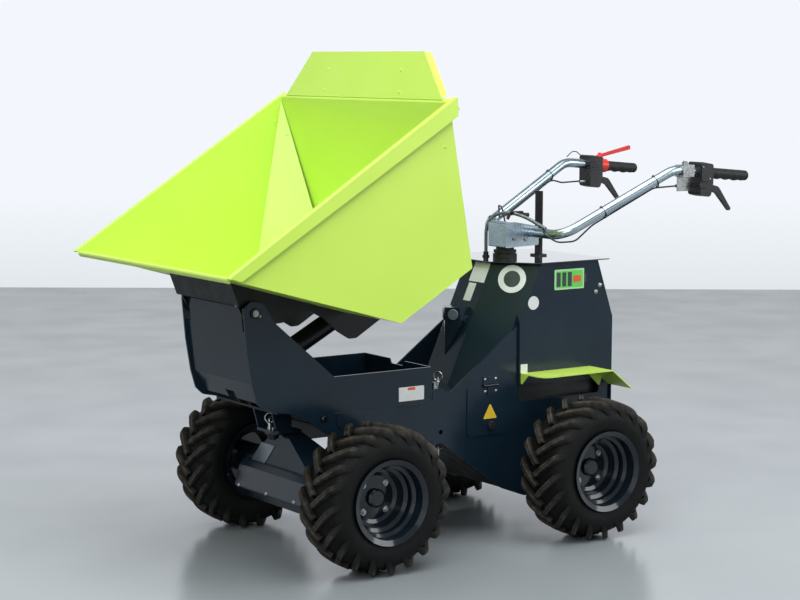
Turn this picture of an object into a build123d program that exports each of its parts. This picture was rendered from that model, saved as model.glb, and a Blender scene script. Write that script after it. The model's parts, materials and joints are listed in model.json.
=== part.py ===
from build123d import *
import os
from math import cos, radians, sin

# Pedestrian-controlled electric site dumper: four driven wheels, a tub chassis at the front, a battery
# pedestal with walk-behind handlebars at the rear, and a skip that tips forward over the front wheels.
# Millimetres. Shapes are drawn with x forward from the front axle, y to the left and z up from the ground;
# save() moves them along x so that the finished part stands with its origin at mid-length.

# ---- driving dimensions ------------------------------------------------------------------------------
FRONT_AXLE_TO_ORIGIN = 468.0
WHEELBASE = 748.0
TRACK = 688.0                      # between tyre centre planes
CLEAR = 0.3                        # gap between pieces that lie against each other but are not joined
RUN = 0.05                         # radial clearance of a turning pin or shaft

# wheels
TYRE_RADIUS = 205.0
TYRE_WIDTH = 165.0
RIM_RADIUS = 116.5                 # outer edge of the rim flange
BEAD_RADIUS = 103.0                # seat of the tyre on the rim
RIM_WIDTH = 172.0
DISC_INSET = 88.0                  # wheel disc behind the outer rim edge
HUB_RADIUS = 46.0
STUB_RADIUS = 20.0

# front chassis tub
PLATE = 6.0                        # side plates
SHEET = 4.0                        # folded panels
TUB_HALF = 172.0                   # outer face of the side plates
TUB_TOP = 513.0
TUB_FLOOR = 380.0
SEAM_X = -311.0                    # joint between front and rear chassis modules
TUB_FRONT_X = 305.0

# skip hinge and skip; the skip is drawn with its rim level and then turned to its parked tip
HINGE_X = 269.0
HINGE_Z = 705.0
HINGE_RADIUS = 12.0
LIP_AHEAD = 125.0                  # lip ahead of the hinge with the rim level
RIM_ABOVE = 235.0                  # rim above the hinge with the rim level
PARKED_TIP = 32.5                  # degrees from rim level to the parked tip
SKIP_LENGTH = 824.0
SLOPE_RUN = 364.0                  # lip to front edge of the bottom
SLOPE_DEPTH = 410.0                # rim to front edge of the bottom
BOTTOM_RUN = 267.0
SKIP_DEPTH = 422.0                 # rim to rear edge of the bottom
SKIP_HALF = 430.0                  # outer face of the skip's side panels
RIM_OUT = 16.0
RIM_BAND = 44.0                    # depth of the rim's outer band at the rear
RIM_BAND_FRONT = 27.0              # and at the lip
RIM_END_SLANT = 24.0               # the band's rear end leans by this much over its depth
LIP_FOLD = 14.0
SKIP_SHEET = 4.0
GUARD_RISE = 97.0
GUARD_LEAN = 87.0
GUARD_BASE_HALF = 399.0
GUARD_TOP_HALF = 284.0
GUARD_FLANGE = 22.0
CORNER_INSET = 130.0               # along the bottom rear edge
CORNER_FORWARD = 67.0              # behind the front edge of the flat bottom
RAIL_HALF = 156.0                  # outer face of the rails under the skip
RAIL_DEPTH = 82.0

# tipping ram: barrel pinned to the skip rails, rod eye at the tub
RAM_TOP_BEHIND_LIP = 417.6
RAM_TOP_BELOW_RIM = 477.5
RAM_ANCHOR_X = 205.0
RAM_ANCHOR_Z = 492.0
RAM_PIN = 10.0
BARREL_RADIUS = 28.5
BARREL_LENGTH = 184.0              # pin to mouth
STAGE_RADIUS = 21.0
STAGE_LENGTH = 172.0
ROD_RADIUS = 14.0
RAM_CLOSED = 232.0                 # pin to pin with the skip down
RAM_START = 30.0                   # stage start from the top pin when closed
EYE_RADIUS = 19.0
LUG_INNER = 31.0                   # half the gap between the skip's ram lugs
CHEEK_INNER = 27.0                 # half the gap between the tub's ram cheeks
EYE_WIDTH = 30.0

# rear chassis and pedestal
REAR_HALF = 172.0
LEDGE_Z = 437.0
BOX_HALF = 180.0                   # side faces of the pedestal
BOX_FRONT_X = -617.0
REAR_OVERHANG = 217.0              # rear axle to the back of the pedestal
BOX_REAR_X = -WHEELBASE - REAR_OVERHANG
BOX_TOP_Z = 786.0
BOX_BASE_Z = 430.0
SLOT_BASE_Z = 385.0               # slot between the box and the side plate, under the mudguard
SLOT_REAR_X = -925.0
NOSE_HALF = 62.0                   # flat strip down the front of the pedestal
NOSE_TOP_X = -602.0
NOSE_FOOT_X = -447.0
NOSE_FOOT_Z = 444.0
SHOULDER_Z = 613.0                 # rear edge leans forward above this
REAR_TOP_X = -905.0
TOP_PLATE = 3.0
TOP_OVERHANG = 8.0
HATCH_LENGTH = 141.0
HATCH_HEIGHT = 141.0
HATCH_FRONT_X = -433.0
HATCH_TOP_Z = 438.0
HATCH_LAP = 8.0                    # door beyond its opening all round

# mudguards
GUARD_Z = 466.0                    # underside of the mudguard's flat
MUDGUARD_OUT = 105.0
MUDGUARD_FRONT_X = -622.0
MUDGUARD_REAR_X = -884.0

# handlebars
COLUMN_X = -698.0
TUBE_RADIUS = 15.0
BAR_HALF = 258.0                   # to each grip
BAR_FOOT_HALF = 192.0              # to the foot of each arm, which splays outwards from there
BAR_CROSS_X = -763.0
BAR_CROSS_Z = 866.0
BAR_BEND_X = -1134.0
BAR_BEND_Z = 1052.0
GRIP_END_X = -1435.0
GRIP_END_Z = 1025.0
GRIP_LENGTH = 164.0
GRIP_RADIUS = 16.5
CASE_HALF = 28.0                   # half width of a control box
CASE_LENGTH = 52.0

# couplings, axles, hatches and other small parts
COUPLING_X = -338.0
COUPLING_Y = 144.0
COUPLING_RADIUS = 8.0
AXLE_BEAM_HALF = 178.0
AXLE_TUBE_RADIUS = 38.0
BEAM_TOP_Z = 239.0
COVER_TOP_Z = 338.0
LUG = 8.0                          # thickness of the plates that the axle's pin joins
AXLE_PIN_X = 112.0
AXLE_PIN_RADIUS = 10.0
TIE_X = -342.0                     # lashing hole in each rear side plate
TIE_Z = 322.0
TIE_RADIUS = 7.0
HINGE_LEAF_X = -516.0
HATCH_KNUCKLE = 4.0
HATCH_PIN = 2.0
TRAY_Z = 292.0
BATTERY_FRONT_X = -628.0
BATTERY_REAR_X = -940.0
BATTERY_HALF = 150.0
BATTERY_TOP_Z = 590.0
CORNER_TOP_X = -694.0              # where the pedestal's corner panel meets the side at the top
PANEL = 3.0
COLUMN_RADIUS = 17.0
HEAD_HALF = 43.0
HEAD_FRONT_X = -668.0
HEAD_REAR_X = -792.0
POST_X = -826.0
STOP_TOP_Z = 654.0                 # bracket on the pedestal's nose that the lowered skip meets
STOP_WAIST_Z = 604.0
STOP_TIP_Z = 512.0
STOP_HALF = 40.0
STOP_WING_X = -503.0
CABLE_RADIUS = 2.5
CONDUIT_RADIUS = 5.0
GLAND_X = -672.0
GLAND_Y = -60.0
CABLE_SIDE = 250.0                 # where the cables meet the control boxes
CABLE_LEFT_END_X = -1150.0
CABLE_LEFT_Z = 1002.0
CABLE_RIGHT_END_X = -1188.0
CABLE_RIGHT_Z = 990.0


# ---- ways of making shapes ---------------------------------------------------------------------------
def save(name, shape):
    """Write one named piece, moved from the front axle's frame to the part's frame."""
    os.makedirs("parts", exist_ok=True)
    solids = [s.moved(Location((FRONT_AXLE_TO_ORIGIN, 0, 0))) for s in shape.solids()]
    piece = solids[0] if len(solids) == 1 else Compound(children=solids)
    export_step(piece, f"parts/{name}.step")


def outline(corners, place):
    """Closed face through (a, b, corner radius) rows; place turns (a, b) into a point in space."""
    points = [place(a, b) for a, b, r in corners]
    radii = [r for a, b, r in corners]
    return make_face(FilletPolyline(*points, radius=radii, close=True))


def side_plate(corners, y0, y1):
    """Plate cut to a side view outline of (x, z, corner radius) rows, between two y values."""
    face = outline(corners, lambda x, z: (x, y0, z))
    return extrude(face, amount=y1 - y0, dir=(0, 1, 0))


def deck_plate(corners, z0, z1):
    """Plate cut to a plan view outline of (x, y, corner radius) rows, between two heights."""
    face = outline(corners, lambda x, y: (x, y, z0))
    return extrude(face, amount=z1 - z0, dir=(0, 0, 1))


def cross_plate(corners, x0, x1):
    """Plate cut to a front view outline of (y, z, corner radius) rows, between two x values."""
    face = outline(corners, lambda y, z: (x0, y, z))
    return extrude(face, amount=x1 - x0, dir=(1, 0, 0))


def block(x0, x1, y0, y1, z0, z1):
    return Pos((x0 + x1) / 2, (y0 + y1) / 2, (z0 + z1) / 2) * Box(abs(x1 - x0), abs(y1 - y0), abs(z1 - z0))


def rod(start, end, radius):
    """Round bar between two points."""
    a, b = Vector(start), Vector(end)
    return Solid.make_cylinder(radius, (b - a).length, Plane(origin=a, z_dir=b - a))


def across(x, z, y0, y1, radius):
    """Round bar along y."""
    return rod((x, y0, z), (x, y1, z), radius)


def folded(line, thickness, y0, y1, bend=6.0):
    """Sheet folded along a side view line of (x, z) points; the sheet lies to the left of the line."""
    pts = [Vector(x, 0, z) for x, z in line]
    runs = [(b - a).normalized() for a, b in zip(pts, pts[1:])]
    lefts = [Vector(-d.Z, 0, d.X) for d in runs]
    inner = [pts[0] + lefts[0] * thickness]
    for k in range(1, len(pts) - 1):
        mitre = (lefts[k - 1] + lefts[k]).normalized()
        inner.append(pts[k] + mitre * (thickness / mitre.dot(lefts[k])))
    inner.append(pts[-1] + lefts[-1] * thickness)
    radii_out, radii_in = [0.0], [0.0]
    for k in range(1, len(pts) - 1):
        turn = runs[k - 1].cross(runs[k]).Y
        radii_out.append(bend + thickness if turn < 0 else bend)
        radii_in.append(bend if turn < 0 else bend + thickness)
    radii_out.append(0.0)
    radii_in.append(0.0)
    rows = [(p.X, p.Z, r) for p, r in zip(pts, radii_out)]
    rows += [(p.X, p.Z, r) for p, r in reversed(list(zip(inner, radii_in)))]
    return side_plate(rows, y0, y1)


def hull(points, faces):
    """Flat-sided closed solid from its corners and the corner numbers of each face."""
    sides = [Face(Wire.make_polygon([points[k] for k in f], close=True)) for f in faces]
    return Solid(Shell(sides))


def both_sides(shape):
    """A piece and its mirror image across the centre plane."""
    return shape + mirror(shape, about=Plane.XZ)


def revolved(profile, x, y, z, side):
    """Ring or disc turned about a y axis from (radius, offset) rows; side +1 faces left, -1 right."""
    face = make_face(Polyline(*[(r, 0, o) for r, o in profile], close=True))
    turned = revolve(face, axis=Axis.Z, revolution_arc=360)
    return Location((x, y, z)) * Rotation(-90 * side, 0, 0) * turned


# ---- wheels ------------------------------------------------------------------------------------------
def tyre_profile():
    """Rubber section: bead seats, bulging walls and a rounded crown, as (radius, offset) rows."""
    half = TYRE_WIDTH / 2
    wall = TYRE_RADIUS - BEAD_RADIUS
    right = [
        (BEAD_RADIUS, half - 10.8),
        (RIM_RADIUS - 1.0, half - 8.0),
        (RIM_RADIUS + 0.5, half - 3.5),
        (BEAD_RADIUS + 0.45 * wall, half),
        (TYRE_RADIUS - 30.0, half),
        (TYRE_RADIUS - 9.0, half - 5.0),
        (TYRE_RADIUS - 3.0, half - 17.0),
        (TYRE_RADIUS, half - 50.0),
    ]
    left = [(r, -o) for r, o in reversed(right)]
    inside = [(BEAD_RADIUS, -half + 26.0), (TYRE_RADIUS - 24.0, -half + 16.0),
              (TYRE_RADIUS - 24.0, half - 16.0), (BEAD_RADIUS, half - 26.0)]
    return right + left + inside


def rim_profile():
    """Pressed steel rim with flanges, bead seats, a stepped well and a dished disc with its hub."""
    half = RIM_WIDTH / 2
    t = 3.5
    seat = BEAD_RADIUS - 0.15
    disc = half - DISC_INSET
    outside = [
        (RIM_RADIUS, half), (RIM_RADIUS, half - t), (seat + 3.0, half - t - 4.5), (seat, half - 14.0),
        (seat, half - 33.0), (seat - 9.0, half - 38.0), (seat - 9.0, half - 62.0), (seat - 19.0, half - 68.0),
        (seat - 19.0, -half + 40.0), (seat, -half + 33.0), (seat, -half + 14.0),
        (seat + 3.0, -half + t + 4.5), (RIM_RADIUS, -half + t), (RIM_RADIUS, -half),
    ]
    inside = [
        (seat - 1.0, -half + 6.0), (seat - t, -half + 14.0), (seat - t, -half + 31.0),
        (seat - 19.0 - t, -half + 38.0), (seat - 19.0 - t, disc - t),
        (HUB_RADIUS, disc - t), (HUB_RADIUS, -half + 8.0), (STUB_RADIUS + RUN, -half + 8.0),
        (STUB_RADIUS + RUN, disc - 9.0), (0.0, disc - 9.0), (0.0, disc + 16.0), (20.0, disc + 16.0),
        (26.0, disc + 12.0), (27.0, disc + 2.0),
        (60.0, disc), (70.0, disc + 5.0), (seat - 19.0 - t, disc + 5.0), (seat - 19.0 - t, half - 66.0),
        (seat - 9.0 - t, half - 60.0), (seat - 9.0 - t, half - 40.0), (seat - t, half - 34.0),
        (seat - t, half - 14.0), (seat - 1.0, half - 6.0),
    ]
    return outside + inside


def wheels():
    """Two nodes a corner: the tyre, and the rim with its hub."""
    corners = [("front_left", 0.0, 1), ("front_right", 0.0, -1),
               ("rear_left", -WHEELBASE, 1), ("rear_right", -WHEELBASE, -1)]
    for name, x, side in corners:
        y = side * TRACK / 2
        save(f"tyre_{name}", revolved(tyre_profile(), x, y, TYRE_RADIUS, side))
        save(f"rim_{name}", revolved(rim_profile(), x, y, TYRE_RADIUS, side))


def stub_end():
    """Outer end of an axle stub, a running gap short of the bottom of the hub's bore."""
    return TRACK / 2 + RIM_WIDTH / 2 - DISC_INSET - 9.0 - 1.0


def hub_face():
    """Inner end of a wheel hub."""
    return TRACK / 2 - RIM_WIDTH / 2 + 8.0


# ---- front chassis module ----------------------------------------------------------------------------
def front_side_plates():
    rows = [
        (TUB_FRONT_X, HINGE_Z + 14, 4), (294, 601, 60), (279, 511, 60), (264, 460, 14), (242, 439, 20),
        (145, 419, 30), (104, 396, 20), (62, 369, 10), (20, 340, 10), (-60, 273, 12), (SEAM_X + 1, 273, 4),
        (SEAM_X + 1, TUB_TOP, 4), (19, TUB_TOP, 6), (207, 675, 40), (HINGE_X - 26, HINGE_Z + 26, 16),
        (HINGE_X + 14, HINGE_Z + 32, 18),
    ]
    plate = side_plate(rows, TUB_HALF - PLATE, TUB_HALF)
    plate -= across(HINGE_X, HINGE_Z, TUB_HALF - PLATE - 1, TUB_HALF + 1, HINGE_RADIUS)
    # pressed-out doubler along the lower rear
    doubler = [(13, 409, 3), (13, 380, 8), (-40, 330, 10), (SEAM_X + 1, 300, 3), (SEAM_X + 1, 418, 3)]
    plate += side_plate(doubler, TUB_HALF, TUB_HALF + 3)
    save("front_side_plate_left", plate)
    save("front_side_plate_right", mirror(plate, about=Plane.XZ))


def front_fascia():
    """Front panel recessed between the side plates, its foot folded under, notched for the skip rails."""
    inner = TUB_HALF - PLATE
    line = [(222, 446), (238, 452), (272, 511), (285, 601), (297, HINGE_Z + 15)]
    panel = folded(line, SHEET, -inner, inner, 5.0)
    for side in (-1, 1):
        panel -= block(260, 320, side * (RAIL_HALF - PLATE - 6), side * (inner + 1),
                       HINGE_Z - 50, HINGE_Z + 40)
    panel -= block(200, 262, -EYE_WIDTH / 2 - 8, EYE_WIDTH / 2 + 8, 430, 474)
    save("front_fascia", panel)


def front_tub_panels():
    inner = TUB_HALF - PLATE
    rear = SEAM_X + 1
    save("front_tub_floor", block(rear + SHEET, 60, -inner, inner, TUB_FLOOR - SHEET, TUB_FLOOR))
    # rear cross wall with a notch for the hoses and two lugs that reach over the rear module
    outline = [(-inner, 285, 0), (inner, 285, 0), (inner, TUB_TOP, 0), (38, TUB_TOP, 4),
               (30, TUB_TOP - 14, 4), (-30, TUB_TOP - 14, 4), (-38, TUB_TOP, 4), (-inner, TUB_TOP, 0)]
    wall = cross_plate(outline, rear, rear + SHEET)
    for side in (-1, 1):
        y = side * COUPLING_Y
        lug = block(COUPLING_X - 22, rear, y - 18, y + 18, LEDGE_Z + CLEAR, LEDGE_Z + CLEAR + LUG)
        wall += lug - rod((COUPLING_X, y, LEDGE_Z), (COUPLING_X, y, LEDGE_Z + 20), COUPLING_RADIUS + RUN)
    save("front_rear_wall", wall)
    pins = []
    for side in (-1, 1):
        y = side * COUPLING_Y
        pin = rod((COUPLING_X, y, LEDGE_Z - 26), (COUPLING_X, y, LEDGE_Z + 26), COUPLING_RADIUS)
        pin += rod((COUPLING_X, y, LEDGE_Z + 9), (COUPLING_X, y, LEDGE_Z + 14), COUPLING_RADIUS + 5)
        pins.append(pin)
    save("coupling_pins", pins[0] + pins[1])


def skip_hinge_pins():
    pin = across(HINGE_X, HINGE_Z, RAIL_HALF - PLATE - 6, TUB_HALF + CLEAR, HINGE_RADIUS)
    pin += across(HINGE_X, HINGE_Z, TUB_HALF + CLEAR, TUB_HALF + 4, HINGE_RADIUS + 2)
    save("skip_hinge_pins", both_sides(pin))


def ram_anchor():
    """Cheeks in the tub that hold the ram's lower pin, open between them where the rod's eye turns."""
    x, z = RAM_ANCHOR_X, RAM_ANCHOR_Z
    cheek = side_plate([(x + 16, z - 30, 4), (x + 22, z + 10, 16), (x - 4, z + 26, 14), (x - 26, z + 4, 14),
                        (x - 40, z - 62, 4), (x - 4, z - 62, 4)], CHEEK_INNER, CHEEK_INNER + 8)
    cheek += across(x, z, EYE_WIDTH / 2 + 1.5, CHEEK_INNER + 14, RAM_PIN)
    beam = block(x - 40, x - 6, -(TUB_HALF - PLATE), TUB_HALF - PLATE, z - 68, z - 62)
    save("ram_anchor", cheek + mirror(cheek, about=Plane.XZ) + beam)


def front_axle():
    """Fabricated beam with its front cover, axle tubes and the stubs that carry the hubs."""
    outline = [(134, 164, 6), (118, 224, 5), (102, BEAM_TOP_Z, 6), (-66, BEAM_TOP_Z, 14), (-78, 226, 10),
               (-70, 140, 14), (98, 128, 12)]
    beam = side_plate(outline, -AXLE_BEAM_HALF, AXLE_BEAM_HALF)
    beam += axle_tubes(0.0, AXLE_BEAM_HALF)
    save("front_axle", beam)
    # sloping cover that narrows to the lug under the chassis
    low, high = AXLE_BEAM_HALF - 12, 34
    base, crown = BEAM_TOP_Z + CLEAR, COVER_TOP_Z
    points = [(92, -low, base), (92, low, base), (-52, low, base), (-52, -low, base),
              (88, -high, crown), (88, high, crown), (34, high, crown), (34, -high, crown)]
    cover = hull(points, [(0, 3, 2, 1), (4, 5, 6, 7), (0, 1, 5, 4), (1, 2, 6, 5), (2, 3, 7, 6), (3, 0, 4, 7)])
    lug = deck_plate([(34, -30, 6), (132, -30, 24), (132, 30, 24), (34, 30, 6)], crown, crown + LUG)
    lug -= rod((AXLE_PIN_X, 0, crown - 1), (AXLE_PIN_X, 0, crown + LUG + 1), AXLE_PIN_RADIUS)
    save("front_axle_cover", cover + lug)
    # hanger under the tub and its upright pin
    inner = TUB_HALF - PLATE
    foot = crown + LUG + CLEAR
    shelf = foot + LUG
    roof = shelf + 65
    hanger = block(84, 150, -inner, inner, roof, roof + PLATE)
    hanger += deck_plate([(76, -56, 4), (140, -56, 20), (140, 56, 20), (76, 56, 4)], foot, shelf)
    for side in (-50, 50):
        hanger += side_plate([(84, shelf, 0), (132, shelf, 0), (150, roof, 0), (84, roof, 0)],
                             side - PLATE / 2, side + PLATE / 2)
    hanger -= rod((AXLE_PIN_X, 0, foot - 1), (AXLE_PIN_X, 0, shelf + 1), AXLE_PIN_RADIUS)
    save("front_axle_hanger", hanger)
    pin = rod((AXLE_PIN_X, 0, crown - 16), (AXLE_PIN_X, 0, shelf + 34), AXLE_PIN_RADIUS - RUN)
    pin += rod((AXLE_PIN_X, 0, crown - 12), (AXLE_PIN_X, 0, crown - CLEAR), AXLE_PIN_RADIUS + 6)
    save("front_axle_pin", pin)


def axle_tubes(x, start):
    """Axle tubes and stubs of both sides, from the beam's ends to the bottom of the hub bores."""
    tube = across(x, TYRE_RADIUS, start - 10, hub_face() - 0.8, AXLE_TUBE_RADIUS)
    tube += across(x, TYRE_RADIUS, hub_face() - 20, stub_end(), STUB_RADIUS)
    return tube + mirror(tube, about=Plane.XZ)


# ---- rear chassis module -----------------------------------------------------------------------------
def rear_side_plates():
    inner = REAR_HALF - PLATE
    front = SEAM_X - 1
    rows = [
        (front, LEDGE_Z, 3), (front, 290, 3), (-346, 290, 6), (-562, 133, 10), (-644, 102, 30),
        (-890, 96, 30), (BOX_REAR_X, 140, 14), (BOX_REAR_X, BOX_BASE_Z - CLEAR, 0),
        (BOX_FRONT_X, BOX_BASE_Z - CLEAR, 0),
        (BOX_FRONT_X + CLEAR, SHOULDER_Z - 4, 2), (-378, LEDGE_Z, 10),
    ]
    plate = side_plate(rows, inner, REAR_HALF)
    slot = [(BOX_FRONT_X - 4, SLOT_BASE_Z, 10), (BOX_FRONT_X - 4, BOX_BASE_Z + 5, 0),
            (SLOT_REAR_X, BOX_BASE_Z + 5, 0), (SLOT_REAR_X, SLOT_BASE_Z, 10)]
    plate -= side_plate(slot, inner - 2, REAR_HALF + 2)
    x0, x1 = HATCH_FRONT_X - HATCH_LENGTH + HATCH_LAP, HATCH_FRONT_X - HATCH_LAP
    z0, z1 = HATCH_TOP_Z - HATCH_HEIGHT + HATCH_LAP, HATCH_TOP_Z - HATCH_LAP - 2
    hatch = side_plate([(x1, z1, 8), (x0, z1, 8), (x0, z0, 8), (x1, z0, 8)], inner - 2, REAR_HALF + 2)
    plate -= hatch
    plate -= across(-WHEELBASE, TYRE_RADIUS, inner - 2, REAR_HALF + 2, AXLE_TUBE_RADIUS + 1)
    plate -= across(TIE_X, TIE_Z, inner - 2, REAR_HALF + 2, TIE_RADIUS)
    save("rear_side_plate_left", plate)
    save("rear_side_plate_right", mirror(plate, about=Plane.XZ))


def hatch_hinges():
    """Upper leaves of the hatch hinges, each with its two outer knuckles and its pin."""
    y, z = REAR_HALF + HATCH_KNUCKLE + CLEAR, HATCH_TOP_Z + HATCH_KNUCKLE
    leaf = block(HINGE_LEAF_X - 26, HINGE_LEAF_X + 26, REAR_HALF, REAR_HALF + 2.5,
                 z + HATCH_KNUCKLE + 1, z + 26)
    for x0, x1 in ((-26, -13), (13, 26)):
        leaf += rod((HINGE_LEAF_X + x0, y, z), (HINGE_LEAF_X + x1, y, z), HATCH_KNUCKLE)
        leaf += block(HINGE_LEAF_X + x0, HINGE_LEAF_X + x1, REAR_HALF, REAR_HALF + 2.5, z + 1,
                      z + HATCH_KNUCKLE + 2)
    leaf += rod((HINGE_LEAF_X - 26, y, z), (HINGE_LEAF_X + 26, y, z), HATCH_PIN)
    save("hatch_hinges", both_sides(leaf))


def hatches():
    """Access doors over the openings in the side plates, hinged along the top."""
    y0 = REAR_HALF + CLEAR
    x0, x1 = HATCH_FRONT_X - HATCH_LENGTH, HATCH_FRONT_X
    z0, z1 = HATCH_TOP_Z - HATCH_HEIGHT, HATCH_TOP_Z - 1
    door = side_plate([(x1, z1, 10), (x0, z1, 10), (x0, z0, 12), (x1, z0, 12)], y0, y0 + 3)
    door += block(HINGE_LEAF_X - 12.7, HINGE_LEAF_X + 12.7, y0 + 3, y0 + 5.5, z1 - 23, z1 + 2)
    y, z = REAR_HALF + HATCH_KNUCKLE + CLEAR, HATCH_TOP_Z + HATCH_KNUCKLE
    door += rod((HINGE_LEAF_X - 12.7, y, z), (HINGE_LEAF_X + 12.7, y, z), HATCH_KNUCKLE)
    door -= rod((HINGE_LEAF_X - 13, y, z), (HINGE_LEAF_X + 13, y, z), HATCH_PIN + RUN)
    # round lock with its cam behind the door
    lock_x, lock_z = HATCH_FRONT_X - 84, HATCH_TOP_Z - 112
    door += across(lock_x, lock_z, y0 + 2, y0 + 12, 12)
    save("hatch_left", door)
    save("hatch_right", mirror(door, about=Plane.XZ))


def rear_deck_and_pan():
    inner = REAR_HALF - PLATE
    front = SEAM_X - 2
    deck = folded([(front, 290), (front, LEDGE_Z), (BOX_FRONT_X + 4, LEDGE_Z)], SHEET, -inner, inner, 4.0)
    for side in (-1, 1):
        y = side * COUPLING_Y
        deck -= rod((COUPLING_X, y, LEDGE_Z - 10), (COUPLING_X, y, LEDGE_Z + 1), COUPLING_RADIUS + RUN)
    save("rear_deck", deck)
    line = [(BOX_REAR_X + 2, 142), (-888, 99), (-646, 105), (-563, 136), (-348, 292)]
    save("rear_belly_pan", folded(line, SHEET, -inner, inner, 8.0))
    tray = block(BOX_REAR_X + 4, BOX_FRONT_X + 10, -inner, inner, TRAY_Z - SHEET, TRAY_Z)
    save("battery_tray", tray)
    battery = block(BATTERY_REAR_X, BATTERY_FRONT_X, -BATTERY_HALF, BATTERY_HALF, TRAY_Z, BATTERY_TOP_Z)
    save("battery", battery)


def pedestal_block(inset):
    """Outer form of the pedestal, or with an inset the hollow inside it."""
    top = BOX_TOP_Z - inset
    half = BOX_HALF - inset
    nose_half = REAR_HALF - PLATE - CLEAR - inset
    base = LEDGE_Z - (5 if inset else 0)
    foot_x, top_x = nose_x(base) - 1.2 * inset, nose_x(top) - 1.2 * inset
    box_base = BOX_BASE_Z - (5 if inset else 0)
    mid = BOX_FRONT_X - inset
    nose = side_plate([(top_x, top, 0), (foot_x, base, 0), (mid - 1, base, 0), (mid - 1, top, 0)],
                      -nose_half, nose_half)
    rear, rear_top = BOX_REAR_X + inset, REAR_TOP_X + inset
    box = side_plate([(mid, top, 0), (mid, box_base, 0), (rear, box_base, 0), (rear, SHOULDER_Z - inset, 0),
                      (rear_top, top, 0)], -half, half)
    form = nose + box
    # the slanting corner panel runs from the nose strip out to the side faces
    a = Vector(NOSE_TOP_X, NOSE_HALF, BOX_TOP_Z)
    b = Vector(CORNER_TOP_X, BOX_HALF, BOX_TOP_Z)
    d = Vector(NOSE_FOOT_X, NOSE_HALF, NOSE_FOOT_Z)
    outward = (b - a).cross(d - a).normalized()
    if outward.X < 0:
        outward = outward * -1
    cutter = Plane(origin=a - outward * inset, z_dir=outward) * (Pos(0, 0, 300) * Box(1600, 1600, 600))
    return form - cutter - mirror(cutter, about=Plane.XZ)


def pedestal():
    shell = pedestal_block(0) - pedestal_block(PANEL)
    shell -= rod((COLUMN_X, 0, BOX_TOP_Z - 20), (COLUMN_X, 0, BOX_TOP_Z + 1), COLUMN_RADIUS + CLEAR)
    save("pedestal_cover", shell)
    front = NOSE_TOP_X + 17
    half = BOX_HALF + TOP_OVERHANG
    plan = [(front, -68, 6), (front, 68, 6), (CORNER_TOP_X + 14, half, 8), (REAR_TOP_X - 45, half, 6),
            (REAR_TOP_X - 45, -half, 6), (CORNER_TOP_X + 14, -half, 8)]
    plate = deck_plate(plan, BOX_TOP_Z + CLEAR, BOX_TOP_Z + CLEAR + TOP_PLATE)
    plate -= rod((COLUMN_X, 0, BOX_TOP_Z - 5), (COLUMN_X, 0, BOX_TOP_Z + 10), COLUMN_RADIUS + CLEAR)
    save("top_plate", plate)
    x = BOX_REAR_X - CLEAR
    line = [(x, 145), (x, SHOULDER_Z), (REAR_TOP_X - 1.5, BOX_TOP_Z - 1)]
    save("rear_panel", folded(line, PANEL, -BOX_HALF, BOX_HALF, 10.0))


def nose_x(z):
    """x of the sloping flat strip down the front of the pedestal at a height."""
    return NOSE_TOP_X + (NOSE_FOOT_X - NOSE_TOP_X) / (NOSE_FOOT_Z - BOX_TOP_Z) * (z - BOX_TOP_Z)


def stop_bracket():
    """Folded bracket on the nose of the pedestal: an upright ridge with wings that slant back to two
    sides, tapering to a point where the ridge meets the nose, with round buffers in wings and sides."""
    top, waist, half, wing = STOP_TOP_Z, STOP_WAIST_Z, STOP_HALF, STOP_WING_X
    ridge = nose_x(STOP_TIP_Z) + CLEAR
    back, low_back = nose_x(top) + CLEAR, nose_x(waist) + CLEAR
    points = [(ridge, 0, top), (wing, half, top), (back, half, top), (back, -half, top), (wing, -half, top),
              (wing, half, waist), (low_back, half, waist), (low_back, -half, waist), (wing, -half, waist),
              (ridge, 0, STOP_TIP_Z)]
    body = hull(points, [(0, 1, 2, 3, 4), (0, 9, 5, 1), (1, 5, 6, 2), (5, 9, 6), (0, 4, 8, 9), (4, 3, 7, 8),
                         (8, 7, 9), (2, 6, 9, 7, 3)])
    middle = (top + waist) / 2
    for side in (-1, 1):
        centre = Vector((ridge + wing) / 2, side * half / 2, middle)
        outward = Vector(half, side * (ridge - wing), 0).normalized()
        body += rod(centre - outward * 8, centre + outward * 3, 16)
        body += across(wing - 9, middle - 4, side * (half - 8), side * (half + 3), 10)
    save("stop_bracket", body)


def rear_axle():
    x = -WHEELBASE
    case = side_plate([(x + 78, 148, 16), (x + 70, 262, 20), (x - 70, 262, 20), (x - 78, 148, 16)], -96, 96)
    case += axle_tubes(x, 96)
    for side in (-1, 1):
        case += across(x, TYRE_RADIUS, side * REAR_HALF, side * (REAR_HALF + 10), AXLE_TUBE_RADIUS + 26)
    save("rear_axle", case)


def mudguards():
    """Step plates over the rear wheels, folded down behind, each with a gusset under it."""
    y0, y1 = BOX_HALF + CLEAR, BOX_HALF + MUDGUARD_OUT
    front, rear, top = MUDGUARD_FRONT_X, MUDGUARD_REAR_X, GUARD_Z
    sheet = folded([(rear - 73, top - 58), (rear, top), (front, top)], PANEL, y0, y1, 6.0)
    guard = sheet & deck_plate([(front, y0, 0), (front, y1, 34), (rear - 80, y1, 10), (rear - 80, y0, 0)],
                               top - 80, top + 20)
    # three-cornered gusset in front, and one along the side under the fold
    guard += cross_plate([(y0, top + 1, 0), (y0 + 36, top + 1, 0), (y0, top - 34, 4)], front - PANEL, front)
    guard += side_plate([(rear + 30, top + 1, 0), (rear - 34, top - 60, 4), (rear - 44, top - 31, 0),
                         (rear, top + 1, 0)], y0, y0 + PANEL)
    save("mudguards", both_sides(guard))


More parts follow.
